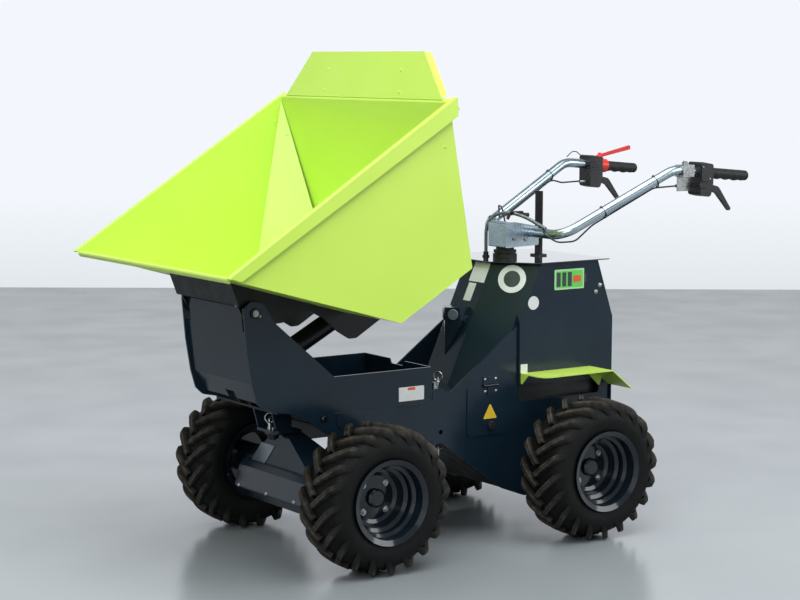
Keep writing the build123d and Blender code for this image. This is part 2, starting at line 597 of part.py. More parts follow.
def steering():
    """Column with its rubber boot, the swivelling head, the bar and what it carries."""
    top = BOX_TOP_Z + CLEAR + TOP_PLATE
    column = rod((COLUMN_X, 0, BOX_TOP_Z - 60), (COLUMN_X, 0, top + 66), COLUMN_RADIUS)
    save("steering_column", column)
    boot = rod((COLUMN_X, 0, top + CLEAR), (COLUMN_X, 0, top + 12), 36)
    boot += rod((COLUMN_X, 0, top + 12), (COLUMN_X, 0, top + 16), 31)
    boot += rod((COLUMN_X, 0, top + 16), (COLUMN_X, 0, top + 24), 34)
    boot += rod((COLUMN_X, 0, top + 24), (COLUMN_X, 0, top + 31), 27)
    boot -= rod((COLUMN_X, 0, top - 1), (COLUMN_X, 0, top + 40), COLUMN_RADIUS + CLEAR)
    save("steering_boot", boot)
    # folded head: closed front, sides that taper rearwards, a floor with the column bore, open above
    base = top + 33
    side_rows = [(HEAD_FRONT_X, base, 3), (HEAD_FRONT_X, base + 74, 6), (HEAD_FRONT_X - 34, base + 76, 10),
                 (HEAD_REAR_X, base + 60, 10), (HEAD_REAR_X, base + 4, 4)]
    head = side_plate(side_rows, -HEAD_HALF, HEAD_HALF)
    inner_rows = [(HEAD_FRONT_X - SHEET, base + SHEET, 0), (HEAD_FRONT_X - SHEET, base + 90, 0),
                  (HEAD_REAR_X - 5, base + 90, 0), (HEAD_REAR_X - 5, base + SHEET + 4, 0)]
    head -= side_plate(inner_rows, -HEAD_HALF + SHEET, HEAD_HALF - SHEET)
    sleeve = rod((COLUMN_X, 0, base), (COLUMN_X, 0, base + 62), COLUMN_RADIUS + 7)
    sleeve += rod((COLUMN_X, 0, base + 30), (COLUMN_X, 0, base + 46), COLUMN_RADIUS + 11)
    head += sleeve
    head -= rod((COLUMN_X, 0, base - 1), (COLUMN_X, 0, top + 66 + RUN), COLUMN_RADIUS + RUN)
    head -= across(BAR_CROSS_X, BAR_CROSS_Z, -HEAD_HALF - 1, HEAD_HALF + 1, TUBE_RADIUS)
    save("steering_head", head)
    # one bent tube: cross run through the head, up the two sides, level at the grips
    end = grip_end() - grip_line() * 12
    path = FilletPolyline(
        (end.X, BAR_HALF, end.Z), (BAR_BEND_X, BAR_HALF, BAR_BEND_Z),
        (BAR_CROSS_X, BAR_FOOT_HALF, BAR_CROSS_Z), (BAR_CROSS_X, -BAR_FOOT_HALF, BAR_CROSS_Z),
        (BAR_BEND_X, -BAR_HALF, BAR_BEND_Z), (end.X, -BAR_HALF, end.Z),
        radius=[90, 58, 58, 90])
    section = Plane(origin=path @ 0, z_dir=path % 0) * Circle(TUBE_RADIUS - CLEAR)
    save("handlebar_tube", sweep(section, path=path))


def grip_line():
    """Direction of the bar's level ends, rearwards."""
    return Vector(GRIP_END_X - BAR_BEND_X, 0, GRIP_END_Z - BAR_BEND_Z).normalized()


def grip_end():
    return Vector(GRIP_END_X, BAR_HALF, GRIP_END_Z)


def controls():
    """Grips, control boxes and levers, the left-hand set mirrored to the right except the safety lever."""
    along, end = grip_line(), grip_end()
    start = end - along * GRIP_LENGTH
    grip = rod(start, end, GRIP_RADIUS) + rod(start, start + along * 5, GRIP_RADIUS + 5)
    grip -= rod(start - along, end - along * 11, TUBE_RADIUS)
    save("hand_grips", both_sides(grip))
    near, far = start - along * 2, start - along * (CASE_LENGTH + 2)
    case = side_plate([(near.X, near.Z + 26, 8), (far.X, far.Z + 30, 8), (far.X, far.Z - 70, 10),
                       (near.X + 10, near.Z - 74, 12), (near.X, near.Z - 34, 8)],
                      BAR_HALF - CASE_HALF, BAR_HALF + CASE_HALF)
    case -= rod(far - along * 20, near + along * 20, TUBE_RADIUS)
    save("control_boxes", both_sides(case))
    lever = side_plate([(near.X - CLEAR, near.Z - 34, 0), (near.X - CLEAR, near.Z - 54, 0),
                        (near.X - 34, near.Z - 64, 16), (near.X - 88, near.Z - 120, 4),
                        (near.X - 97, near.Z - 114, 4), (near.X - 44, near.Z - 44, 22)],
                       BAR_HALF - 5, BAR_HALF + 5)
    save("hand_levers", both_sides(lever))
    safety = side_plate([(near.X - CLEAR, near.Z + 24, 0), (near.X - CLEAR, near.Z + 12, 0),
                         (near.X - 8, near.Z - 26, 3), (near.X - 26, near.Z - 26, 3),
                         (near.X - 28, near.Z + 22, 10), (near.X - 160, near.Z + 46, 5),
                         (near.X - 158, near.Z + 60, 5), (near.X - 26, near.Z + 32, 10)],
                        -CASE_HALF, -CASE_HALF + 6)
    save("safety_lever", Pos(0, -BAR_HALF, 0) * safety)


def throttle_bracket():
    """Clamp on the left arm with the plate and the adjuster that hold the speed cable, and the right
    cable's adjuster in front of its box."""
    level = BAR_BEND_Z - 3.5
    clamp = block(-1200, -1156, BAR_HALF - 19, BAR_HALF + 19, level - 19, level + 17)
    clamp += rod((-1178, BAR_HALF, level + 16), (-1178, BAR_HALF, level + 25), 9)
    clamp += block(-1206, -1150, BAR_HALF - 4, BAR_HALF - 1, CABLE_LEFT_Z - 16, level - 10)
    clamp -= rod(grip_end() + grip_line() * -400, grip_end(), TUBE_RADIUS)
    box_front = (grip_end() - grip_line() * (GRIP_LENGTH + CASE_LENGTH + 2)).X + CLEAR
    clamp += rod((CABLE_LEFT_END_X, CABLE_SIDE, CABLE_LEFT_Z), (box_front, CABLE_SIDE, CABLE_LEFT_Z), 5)
    ferrule = rod((CABLE_RIGHT_END_X, -CABLE_SIDE, CABLE_RIGHT_Z), (box_front, -CABLE_SIDE, CABLE_RIGHT_Z),
                  4.5)
    save("throttle_bracket", Compound(children=[*clamp.solids(), *ferrule.solids()]))


def beside_arm(run, side, inwards, down):
    """Point beside a handlebar arm, a distance up it from its foot, offset square to the arm."""
    foot = Vector(BAR_CROSS_X, side * BAR_FOOT_HALF, BAR_CROSS_Z)
    along = (Vector(BAR_BEND_X, side * BAR_HALF, BAR_BEND_Z) - foot).normalized()
    inner = Vector(0, -side, 0)
    inner = (inner - along * inner.dot(along)).normalized()
    under = along.cross(inner) * side
    if under.Z > 0:
        under = under * -1
    return foot + along * run + inner * inwards + under * down


def cord(points, radii, radius):
    """Round cord along straight runs joined by tangent arcs."""
    path = FilletPolyline(*points, radius=radii)
    return sweep(Plane(origin=path @ 0, z_dir=path % 0) * Circle(radius), path=path)


def cables():
    """Conduit from its gland over the steering head to the bar, and the cables tied along the arms."""
    top = BOX_TOP_Z + CLEAR + TOP_PLATE
    gland = rod((GLAND_X, GLAND_Y, top), (GLAND_X, GLAND_Y, top + 4), 11)
    gland += rod((GLAND_X, GLAND_Y, top + 4), (GLAND_X, GLAND_Y, top + 15), 8)
    save("conduit_gland", gland)
    end = (-757, 104, 886)
    save("conduit", cord([(GLAND_X, GLAND_Y, top + 15), (GLAND_X, GLAND_Y, 872), (-690, -44, 918),
                          (-722, 8, 925), (-748, 62, 906), end], [45, 45, 70, 60], CONDUIT_RADIUS))
    beside = TUBE_RADIUS + CABLE_RADIUS
    left = cord([(-757.3, 105.6, 885.2), (-737, 140, 866), (-748, 186, 846), (-800, 204, 848),
                 beside_arm(100, 1, 0, beside + 2), beside_arm(335, 1, 0, beside),
                 (CABLE_LEFT_END_X + CLEAR, CABLE_SIDE, CABLE_LEFT_Z)], [22, 25, 45, 120, 60], CABLE_RADIUS)
    slant = beside * sin(radians(45))
    right = cord([(-742, -56, 884), (-742, -74, 934), (-754, -106, 938), (-790, -150, 896),
                  beside_arm(90, -1, slant, slant), beside_arm(325, -1, slant, slant), (-1112, -246, 988),
                  (CABLE_RIGHT_END_X + CLEAR, -CABLE_SIDE, CABLE_RIGHT_Z)], [16, 16, 40, 60, 60, 40],
                 CABLE_RADIUS)
    switch = cord([(-1142, -BAR_HALF, 1069), (-1172, -BAR_HALF, 1092), (-1217.5, -BAR_HALF, 1060)], [26],
                  CABLE_RADIUS - 1)
    save("control_cables", Compound(children=[*left.solids(), *right.solids(), *switch.solids()]))


def control_post():
    top = BOX_TOP_Z + CLEAR + TOP_PLATE
    post = block(POST_X - 4, POST_X + 4, -14, 14, top, 985)
    post += block(POST_X - 16, POST_X + 16, -20, 20, top, top + 5)
    save("control_post", post)


# ---- skip --------------------------------------------------------------------------------------------
def sx(u):
    """x of a point u behind the lip, with the rim level."""
    return HINGE_X + LIP_AHEAD - u


def sz(v):
    """z of a point v below the rim, with the rim level."""
    return HINGE_Z + RIM_ABOVE - v


def tipped(shape):
    """Turn a shape from rim level to the parked tip about the hinge."""
    return Pos(HINGE_X, 0, HINGE_Z) * (Rot(0, PARKED_TIP, 0) * (Pos(-HINGE_X, 0, -HINGE_Z) * shape))


def skip_point(u, y, v):
    """Point of the skip in space at its parked tip."""
    a = radians(PARKED_TIP)
    x, z = sx(u) - HINGE_X, sz(v) - HINGE_Z
    return Vector(HINGE_X + x * cos(a) + z * sin(a), y, HINGE_Z - x * sin(a) + z * cos(a))


def rear_top_run():
    """Distance behind the lip of the rear wall's top bend."""
    return SKIP_LENGTH - RIM_OUT - SKIP_SHEET


def skip_panels():
    inner = SKIP_HALF - SKIP_SHEET
    bottom_rear = SLOPE_RUN + BOTTOM_RUN
    rows = [(sx(0), sz(SKIP_SHEET), 0), (sx(SLOPE_RUN), sz(SLOPE_DEPTH), 6),
            (sx(bottom_rear), sz(SKIP_DEPTH), 6), (sx(rear_top_run()), sz(SKIP_SHEET), 0)]
    panel = side_plate(rows, inner, SKIP_HALF)
    panel += block(sx(0), sx(SKIP_LENGTH), inner, SKIP_HALF + RIM_OUT, sz(SKIP_SHEET), sz(0))
    front_slant = RIM_BAND_FRONT * SLOPE_RUN / SLOPE_DEPTH
    band = [(sx(0), sz(0), 0), (sx(front_slant), sz(RIM_BAND_FRONT), 3),
            (sx(SKIP_LENGTH - RIM_END_SLANT), sz(RIM_BAND), 6), (sx(SKIP_LENGTH), sz(0), 0)]
    panel += side_plate(band, SKIP_HALF + RIM_OUT - SKIP_SHEET, SKIP_HALF + RIM_OUT)
    panel = tipped(panel)
    save("skip_side_left", panel)
    save("skip_side_right", mirror(panel, about=Plane.XZ))
    lip = sx(0) - SKIP_SHEET
    line = [(sx(bottom_rear), sz(SKIP_DEPTH)), (sx(SLOPE_RUN), sz(SLOPE_DEPTH)), (lip, sz(SKIP_SHEET)),
            (lip, sz(SKIP_SHEET + LIP_FOLD))]
    save("skip_floor", tipped(folded(line, SKIP_SHEET, -inner, inner, 3.0)))
    rear = sx(SKIP_LENGTH - SKIP_SHEET)
    line = [(rear, sz(RIM_BAND - SKIP_SHEET)), (rear, sz(SKIP_SHEET)), (sx(rear_top_run()), sz(SKIP_SHEET)),
            (sx(bottom_rear + 3), sz(SKIP_DEPTH - SKIP_SHEET - 2.2))]
    save("skip_rear_wall", tipped(folded(line, SKIP_SHEET, -inner, inner, 3.0)))


def skip_corner_panels():
    """Triangular panels that slope the load away from the rear bottom corners."""
    y = SKIP_HALF - SKIP_SHEET - CLEAR
    t = SKIP_SHEET + 3.0
    foot = SLOPE_DEPTH + (SKIP_DEPTH - SLOPE_DEPTH) * CORNER_FORWARD / BOTTOM_RUN - t
    top = skip_point(rear_top_run() - t, y, SKIP_SHEET + 6)
    side = skip_point(SLOPE_RUN + CORNER_FORWARD, y, foot)
    rear = skip_point(SLOPE_RUN + BOTTOM_RUN - t - 4, y - CORNER_INSET, SKIP_DEPTH - t)
    face = Face(Wire.make_polygon([top, side, rear], close=True))
    inward = (side - top).cross(rear - top).normalized()
    if inward.Y > 0:
        inward = inward * -1
    save("skip_corner_panels", both_sides(extrude(face, amount=SKIP_SHEET - 1, dir=inward)))


def spill_guard():
    """Board that leans back above the rear wall, with flanges along its slanting ends."""
    run = rear_top_run() + 4
    rise = Vector(-GUARD_LEAN, 0, GUARD_RISE)
    normal = Vector(GUARD_RISE, 0, GUARD_LEAN).normalized()
    foot = Vector(sx(run), 0, sz(-CLEAR))
    corner = [foot + Vector(0, -GUARD_BASE_HALF, 0), foot + Vector(0, GUARD_BASE_HALF, 0),
              foot + rise + Vector(0, GUARD_TOP_HALF, 0), foot + rise + Vector(0, -GUARD_TOP_HALF, 0)]
    board = extrude(Face(Wire.make_polygon(corner, close=True)), amount=PANEL, dir=normal)
    back = normal * -GUARD_FLANGE
    for low, high, inwards in ((corner[1], corner[2], -1), (corner[0], corner[3], 1)):
        lift = (high - low).normalized() * 8
        edge = Face(Wire.make_polygon([low + lift, high, high + back, low + lift * 3.2 + back], close=True))
        board += extrude(edge, amount=PANEL, dir=Vector(0, inwards, 0))
    save("spill_guard", tipped(board))


def skip_subframe():
    """Rails, front panel and cross tube under the skip, with the hinge lugs and the ram's lugs."""
    bottom_rear = SLOPE_RUN + BOTTOM_RUN
    slope = SLOPE_DEPTH / SLOPE_RUN
    fall = (SKIP_DEPTH - SLOPE_DEPTH) / BOTTOM_RUN
    seat = 1.5 * CLEAR
    rows = [
        (112, 112 * slope + seat, 0), (SLOPE_RUN, SLOPE_DEPTH + seat, 0),
        (bottom_rear - 3, SKIP_DEPTH - 3 * fall + seat, 0),
        (bottom_rear - 8, SKIP_DEPTH + RAIL_DEPTH - 30, 20),
        (bottom_rear - 42, SKIP_DEPTH + RAIL_DEPTH - 4, 26),
        (356, SLOPE_DEPTH + RAIL_DEPTH, 20), (336, 480, 10), (317, 442, 6), (297, 378, 8), (276, 343, 8),
        (250, 322, 12), (187, 314, 12), (162, 300, 12), (111, 274, 20), (96, 242, 12), (99, 190, 0),
    ]
    rail = side_plate([(sx(u), sz(v), r) for u, v, r in rows], RAIL_HALF - PLATE, RAIL_HALF)
    rail -= across(HINGE_X, HINGE_Z, RAIL_HALF - PLATE - 1, RAIL_HALF + 1, HINGE_RADIUS + RUN)
    frame = rail + mirror(rail, about=Plane.XZ)
    front = [(99, 190), (112, 112 * slope + seat)]
    frame += folded([(sx(u), sz(v)) for u, v in front], -SHEET, -TUB_HALF, TUB_HALF, 1.0)
    tube_u, tube_v = 495.0, SKIP_DEPTH + 26
    frame += across(sx(tube_u), sz(tube_v), -RAIL_HALF + PLATE - 1, RAIL_HALF - PLATE + 1, 17)
    u, v = RAM_TOP_BEHIND_LIP, RAM_TOP_BELOW_RIM
    outline = [(u - 34, SLOPE_DEPTH + 34 * fall + 3, 0), (u - 22, v + 14, 16), (u + 6, v + 24, 16),
               (tube_u + 6, tube_v + 12, 8), (tube_u + 10, SKIP_DEPTH, 0)]
    lug = side_plate([(sx(a), sz(b), r) for a, b, r in outline], LUG_INNER, LUG_INNER + 7)
    frame += lug + mirror(lug, about=Plane.XZ)
    frame += across(sx(u), sz(v), -LUG_INNER - 13, LUG_INNER + 13, RAM_PIN)
    save("skip_subframe", tipped(frame))


def ram():
    """Two-stage tipping ram: the barrel hangs from the skip and the rod's eye turns in the tub."""
    top = skip_point(RAM_TOP_BEHIND_LIP, 0, RAM_TOP_BELOW_RIM)
    foot = Vector(RAM_ANCHOR_X, 0, RAM_ANCHOR_Z)
    length = (foot - top).length
    d = (foot - top).normalized()
    reach = (length - RAM_CLOSED) / 2

    def at(s):
        return top + d * s

    barrel = rod(at(14), at(BARREL_LENGTH), BARREL_RADIUS)
    barrel += rod(at(BARREL_LENGTH - 16), at(BARREL_LENGTH), BARREL_RADIUS + 2.5)
    barrel += across(top.X, top.Z, -LUG_INNER + 1, LUG_INNER - 1, EYE_RADIUS)
    barrel -= rod(at(RAM_START - 5), at(BARREL_LENGTH + 1), STAGE_RADIUS + CLEAR)
    barrel -= across(top.X, top.Z, -60, 60, RAM_PIN + RUN)
    save("ram_barrel", barrel)
    stage_start = RAM_START + reach
    stage_end = stage_start + STAGE_LENGTH
    stage = rod(at(stage_start), at(stage_end), STAGE_RADIUS)
    stage -= rod(at(stage_start + 5), at(stage_end + 1), ROD_RADIUS + CLEAR)
    save("ram_stage", stage)
    bar = rod(at(RAM_START + 9 + 2 * reach), at(length - 12), ROD_RADIUS)
    bar += across(foot.X, foot.Z, -EYE_WIDTH / 2, EYE_WIDTH / 2, EYE_RADIUS)
    bar -= across(foot.X, foot.Z, -60, 60, RAM_PIN + RUN)
    save("ram_rod", bar)


wheels()
front_side_plates()
front_fascia()
front_tub_panels()
skip_hinge_pins()
ram_anchor()
front_axle()
rear_side_plates()
hatch_hinges()
hatches()
rear_deck_and_pan()
pedestal()
stop_bracket()
rear_axle()
mudguards()
steering()
controls()
throttle_bracket()
cables()
control_post()
skip_panels()
skip_corner_panels()
spill_guard()
skip_subframe()
ram()
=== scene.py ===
import json
import math

import bpy
import numpy as np
from mathutils import Matrix, Vector


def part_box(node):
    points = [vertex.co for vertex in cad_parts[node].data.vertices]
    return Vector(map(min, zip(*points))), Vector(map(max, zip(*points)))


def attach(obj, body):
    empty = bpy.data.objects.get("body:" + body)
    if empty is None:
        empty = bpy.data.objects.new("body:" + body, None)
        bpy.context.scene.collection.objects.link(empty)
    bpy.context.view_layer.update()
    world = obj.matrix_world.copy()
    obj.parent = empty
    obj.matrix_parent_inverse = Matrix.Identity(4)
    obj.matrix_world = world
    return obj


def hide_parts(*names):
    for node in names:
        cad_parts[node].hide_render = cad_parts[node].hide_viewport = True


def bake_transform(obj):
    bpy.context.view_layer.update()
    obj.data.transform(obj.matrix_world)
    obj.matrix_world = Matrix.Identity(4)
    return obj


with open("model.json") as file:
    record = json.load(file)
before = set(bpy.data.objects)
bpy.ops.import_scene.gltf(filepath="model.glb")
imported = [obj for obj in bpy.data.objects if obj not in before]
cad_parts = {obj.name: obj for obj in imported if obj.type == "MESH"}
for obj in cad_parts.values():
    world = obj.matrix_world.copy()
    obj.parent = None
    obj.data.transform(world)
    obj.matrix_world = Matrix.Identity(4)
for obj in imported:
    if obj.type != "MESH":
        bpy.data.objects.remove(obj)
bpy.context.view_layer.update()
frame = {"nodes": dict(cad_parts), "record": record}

MM = 0.001
# every place is in millimetres: x ahead of the front axle, y to the left, z up from the floor
AXLE_X = sum(corner[0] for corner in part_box("rim_front_left")) / 2 / MM
CORNERS = ("front_left", "front_right", "rear_left", "rear_right")
SIDES = (("left", 1), ("right", -1))
SHARP_ANGLE = math.radians(36)  # edges folded by more than this are shaded as sharp
POLE = 0.1  # a turned end starts this far from its axis, and a flat face closes it
SUNK = -0.2  # plates and discs start this far inside the face that they lie on


# ---- finishes ------------------------------------------------------------------------------------
NOISE_BAND = {"From Min": 0.2, "From Max": 0.8}  # the part of a noise that is spread over a range
GRAIN_STRENGTH = 0.4
EARTH_SCALE = 45.0  # patches of dry earth and of painted highlight on a tread, some 22 mm across


def colour(hexed):
    """An sRGB hex colour as linear red, green, blue and alpha."""
    channels = [int(hexed[k:k + 2], 16) / 255 for k in (1, 3, 5)]
    return [c / 12.92 if c <= 0.04045 else ((c + 0.055) / 1.055) ** 2.4 for c in channels] + [1.0]


def add(tree, kind, inputs=(), **settings):
    """One node with its settings; inputs maps a socket to a value or to another node's output."""
    made = tree.nodes.new(kind)
    for name, value in settings.items():
        setattr(made, name, value)
    for name, value in dict(inputs).items():
        if isinstance(value, bpy.types.NodeSocket):
            tree.links.new(value, made.inputs[name])
        else:
            made.inputs[name].default_value = value
    return made


def finish(name, shades, cloud, roughness, grain, depth, run=(1, 1, 1), **shader):
    """A surface whose colour drifts between two shades in clouds so many millimetres across, whose
    roughness drifts between two values in patches a third of that, and which has a grain of a size
    and a depth in millimetres; run below 1 draws the pattern out along an axis. Returns the tree,
    the shader and the tint."""
    made = bpy.data.materials.new(name)
    made.use_nodes = True
    tree = made.node_tree
    tree.nodes.clear()
    surface = add(tree, "ShaderNodeBsdfPrincipled",
                  {setting.replace("_", " "): value for setting, value in shader.items()})
    add(tree, "ShaderNodeOutputMaterial", {"Surface": surface.outputs[0]})
    where = add(tree, "ShaderNodeTexCoord").outputs["Object"]
    where = add(tree, "ShaderNodeMapping", {"Vector": where, "Scale": run}).outputs[0]
    drift = add(tree, "ShaderNodeTexNoise", {"Vector": where, "Scale": 1000 / cloud, "Detail": 2.0})
    share = add(tree, "ShaderNodeMapRange", {"Value": drift.outputs[0], **NOISE_BAND},
                interpolation_type="SMOOTHSTEP")
    tint = add(tree, "ShaderNodeMix",
               {0: share.outputs[0], 6: colour(shades[0]), 7: colour(shades[1])}, data_type="RGBA")
    haze = add(tree, "ShaderNodeTexNoise", {"Vector": where, "Scale": 3000 / cloud, "Detail": 1.0})
    dull = add(tree, "ShaderNodeMapRange",
               {"Value": haze.outputs[0], **NOISE_BAND, "To Min": roughness[0],
                "To Max": roughness[1]}, interpolation_type="SMOOTHSTEP")
    fine = add(tree, "ShaderNodeTexNoise", {"Vector": where, "Scale": 1000 / grain, "Detail": 2.0})
    relief = add(tree, "ShaderNodeBump",
                 {"Height": fine.outputs[0], "Strength": GRAIN_STRENGTH, "Distance": depth * MM})
    tree.links.new(tint.outputs[2], surface.inputs["Base Color"])
    tree.links.new(dull.outputs[0], surface.inputs["Roughness"])
    tree.links.new(relief.outputs[0], surface.inputs["Normal"])
    return tree, surface, tint


def make_finishes():
    """Every finish of the machine: name, two shades, clouds, roughness, grain and its depth."""
    # Orange peel is some 2 mm across, and moulded, drawn, ground and printed textures are finer.
    # All are too fine to show from the camera, so each grain is drawn 8 to 30 mm across instead.
    # polyester powder coat on folded sheet: even colour and the soft reflections of orange peel
    coat = dict(Coat_Weight=0.3, Coat_Roughness=0.1)
    finish("powder_coated_sheet_lime", ("#CCEF60", "#C7EA59"), 260, (0.30, 0.40), 14, 0.06, **coat)
    # powder coat on dark plate: near black with a blue cast, and dim clear reflections
    finish("powder_coated_plate_anthracite", ("#11202C", "#172835"), 180, (0.17, 0.24), 16, 0.03,
           Specular_IOR_Level=0.36)
    # the top plate is of the same coat, wiped glossy: it mirrors what stands behind it
    finish("powder_coated_top_glossy", ("#1A252D", "#202C34"), 180, (0.03, 0.06), 20, 0.01,
           Coat_Weight=1.0, Coat_Roughness=0.03)
    # powder coat on pressed rims: darker and glossier, so that their steps catch thin bright lines
    finish("powder_coated_rim_anthracite", ("#0C151D", "#111B24"), 90, (0.10, 0.16), 16, 0.02,
           Coat_Weight=0.25, Coat_Roughness=0.05, Specular_IOR_Level=0.4)
    # air dried enamel on the plates underneath: blacker and duller, with a film of dust
    finish("brushed_enamel_black", ("#07090B", "#0C0F12"), 120, (0.34, 0.46), 12, 0.05,
           Specular_IOR_Level=0.3)
    # zinc plated tube and sheet: bright bluish metal in clouds, drawn lengthwise
    finish("zinc_plated_drawn_tube", ("#A3B4BD", "#B9C7CF"), 60, (0.22, 0.30), 30, 0.02,
           run=(0.25, 1, 1), Metallic=1.0)
    # zinc plated heads, nuts and clips: small bright spots, mottled and a little warmer
    finish("zinc_plated_fastener", ("#8E9291", "#B4B7B5"), 9, (0.22, 0.34), 10, 0.005, Metallic=1.0)
    # hard chromed rod: close to a mirror, with faint marks from grinding
    finish("hard_chromed_rod", ("#C3C7C9", "#D8DADB"), 25, (0.06, 0.14), 20, 0.005,
           run=(1, 0.1, 1), Metallic=1.0)
    # moulded rubber of the grips and the boot: soft, flat black
    finish("moulded_nitrile_rubber", ("#0E0F0F", "#181919"), 20, (0.50, 0.68), 10, 0.05)
    # moulded nylon of boxes and levers, its mould spark eroded: black with a broad dull shine
    finish("moulded_glass_filled_nylon", ("#0D0E0F", "#17191A"), 24, (0.34, 0.50), 10, 0.04)
    # extruded sheath of cables: smoother and glossier than the boxes
    finish("extruded_pvc_sheath", ("#0C0D0E", "#16181A"), 12, (0.28, 0.38), 12, 0.02)
    # braided sleeve of the conduit: mid grey with a broken metallic sheen, lighter than the cables
    finish("braided_conduit_grey", ("#5B6265", "#7C8487"), 12, (0.35, 0.50), 8, 0.10, Metallic=0.6)
    # red lever of dyed acetal: glossy, light carries a little way into it
    finish("moulded_acetal_red", ("#CE2A22", "#DB3A30"), 30, (0.24, 0.36), 14, 0.02,
           Subsurface_Weight=0.05)
    # printed vinyl under a clear film: flat colour with a soft shine, a little uneven over its glue
    film = dict(Coat_Weight=0.4, Coat_Roughness=0.1)
    for shade, pair in (("white", ("#D5D9D8", "#E2E5E4")), ("yellow", ("#D8B326", "#E3BF35")),
                        ("orange", ("#D8512C", "#E05E38")), ("green", ("#58C74B", "#66D257")),
                        ("pale_green", ("#A5D79A", "#B4E0AA")), ("slate", ("#232E36", "#2C3841"))):
        finish("laminated_vinyl_" + shade, pair, 40, (0.30, 0.42), 12, 0.02, **film)
    # anodised aluminium plate: even mid grey with a silky sheen, between paint and bare metal
    finish("anodised_plate_grey", ("#757F87", "#858E95"), 30, (0.36, 0.48), 12, 0.01, Metallic=0.5)
    # vulcanised tyre rubber: near black with a brown cast, and a pale tan on the tops of the bars
    # where the per-point attribute is high: partly dry earth, partly a painted highlight along the
    # bars' top edges, where they catch the light
    tree, surface, tint = finish("vulcanised_tyre_rubber", ("#060707", "#0B0C0C"), 70,
                                 (0.55, 0.70), 12, 0.12, Specular_IOR_Level=0.2)
    earth_and_highlight_share = add(tree, "ShaderNodeAttribute", attribute_name="earth_and_highlight").outputs["Fac"]
    where = add(tree, "ShaderNodeTexCoord").outputs["Object"]
    patch = add(tree, "ShaderNodeTexNoise",
                {"Vector": where, "Scale": EARTH_SCALE, "Detail": 5.0}).outputs[0]
    share = add(tree, "ShaderNodeMapRange",
                {"Value": patch, "From Min": 0.3, "From Max": 0.7, "To Min": 0.1})
    earth_and_highlight_amount = add(tree, "ShaderNodeMath", {0: earth_and_highlight_share, 1: share.outputs[0]},
               operation="MULTIPLY").outputs[0]
    # pale tan: dry earth on the bars, and a painted highlight on their top edges
    earth_and_highlight_tint = add(tree, "ShaderNodeMix", {0: earth_and_highlight_amount, 6: tint.outputs[2], 7: colour("#5C564D")},
                data_type="RGBA")
    tree.links.new(earth_and_highlight_tint.outputs[2], surface.inputs["Base Color"])


# finish of each record slot, for the CAD nodes; the nodes in NODE_FINISH have one of their own
SLOT_FINISH = {
    "lime_paint": "powder_coated_sheet_lime",
    "anthracite_paint": "powder_coated_plate_anthracite",
    "black_paint": "brushed_enamel_black",
    "zinc_steel": "zinc_plated_drawn_tube",
    "chromed_steel": "hard_chromed_rod",
    "black_rubber": "moulded_nitrile_rubber",
    "black_plastic": "moulded_glass_filled_nylon",
    "red_plastic": "moulded_acetal_red",
    "tyre": "vulcanised_tyre_rubber",
}
NODE_FINISH = {
    **{"rim_" + corner: "powder_coated_rim_anthracite" for corner in CORNERS},
    "front_axle": "powder_coated_plate_anthracite",
    "hatch_hinges": "powder_coated_plate_anthracite",
    "throttle_bracket": "zinc_plated_fastener",
    "coupling_pins": "zinc_plated_fastener",
    "top_plate": "powder_coated_top_glossy",
    "control_cables": "extruded_pvc_sheath",
    "conduit_gland": "extruded_pvc_sheath",
}


def finish_nodes():
    """Puts on each CAD node its own finish, or else the finish of its slot."""
    for part in frame["record"]["subparts"]:
        mesh = frame["nodes"][part["node"]].data
        mesh.materials.clear()
        name = NODE_FINISH.get(part["node"], SLOT_FINISH[part["material_slot"]])
        mesh.materials.append(bpy.data.materials[name])


# ---- surfaces ------------------------------------------------------------------------------------
def grid_faces(rows, columns, closed=False):
    """Quads of a grid of rows by columns points; columns join round, and rows do too if closed."""
    r, c = np.meshgrid(np.arange(rows if closed else rows - 1), np.arange(columns), indexing="ij")
    r2, c2 = (r + 1) % rows, (c + 1) % columns
    quads = [r * columns + c, r * columns + c2, r2 * columns + c2, r2 * columns + c]
    return np.stack(quads, -1).reshape(-1, 4)


def capped(rows, columns):
    """Faces of a tube of rows rings with a flat face on each end."""
    last = (rows - 1) * columns
    ends = [np.arange(columns)[::-1], np.arange(last, last + columns)]
    return list(grid_faces(rows, columns)) + ends


def piece(name, parts, finish_name, body, earth_and_highlight=None):
    """One object from parts, each its points in millimetres and its faces, that rides on a body;
    the last argument, if given, is a value for each point: how much dry earth and painted
    highlight it carries. A body given as (body, other body, start, end) is not used: such a piece
    stays where it is made, on no body."""
    sizes = [len(points.reshape(-1, 3)) for points, _ in parts]
    shifts = np.cumsum([0] + sizes[:-1])
    points = np.concatenate([points.reshape(-1, 3) for points, _ in parts]) + (AXLE_X, 0, 0)
    faces = [(np.asarray(face) + shift).tolist()
             for (_, part), shift in zip(parts, shifts) for face in part]
    mesh = bpy.data.meshes.new(name)
    mesh.from_pydata((points * MM).tolist(), [], faces)
    mesh.polygons.foreach_set("use_smooth", np.ones(len(mesh.polygons), dtype=bool))
    mesh.set_sharp_from_angle(angle=SHARP_ANGLE)
    if earth_and_highlight is not None:
        values = mesh.attributes.new("earth_and_highlight", "FLOAT", "POINT").data
        values.foreach_set("value", earth_and_highlight.astype(np.float32))
    mesh.materials.append(bpy.data.materials[finish_name])
    made = bpy.data.objects.new(name, mesh)
    bpy.context.scene.collection.objects.link(made)
    if isinstance(body, str):
        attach(made, body)
    else:
        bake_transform(made)
    return made


def axes(along):
    """Three square directions as rows: across, up and along; along is kept, and up is as near to
    upright as it goes."""
    along = np.asarray(along, float) / np.linalg.norm(along)
    up = np.array((0.0, 0, 1))
    if abs(along @ up) > 0.99:  # along is upright itself
        up = np.array((1.0, 0, 0))
    up -= along * (along @ up)
    up /= np.linalg.norm(up)
    return np.array([np.cross(up, along), up, along])


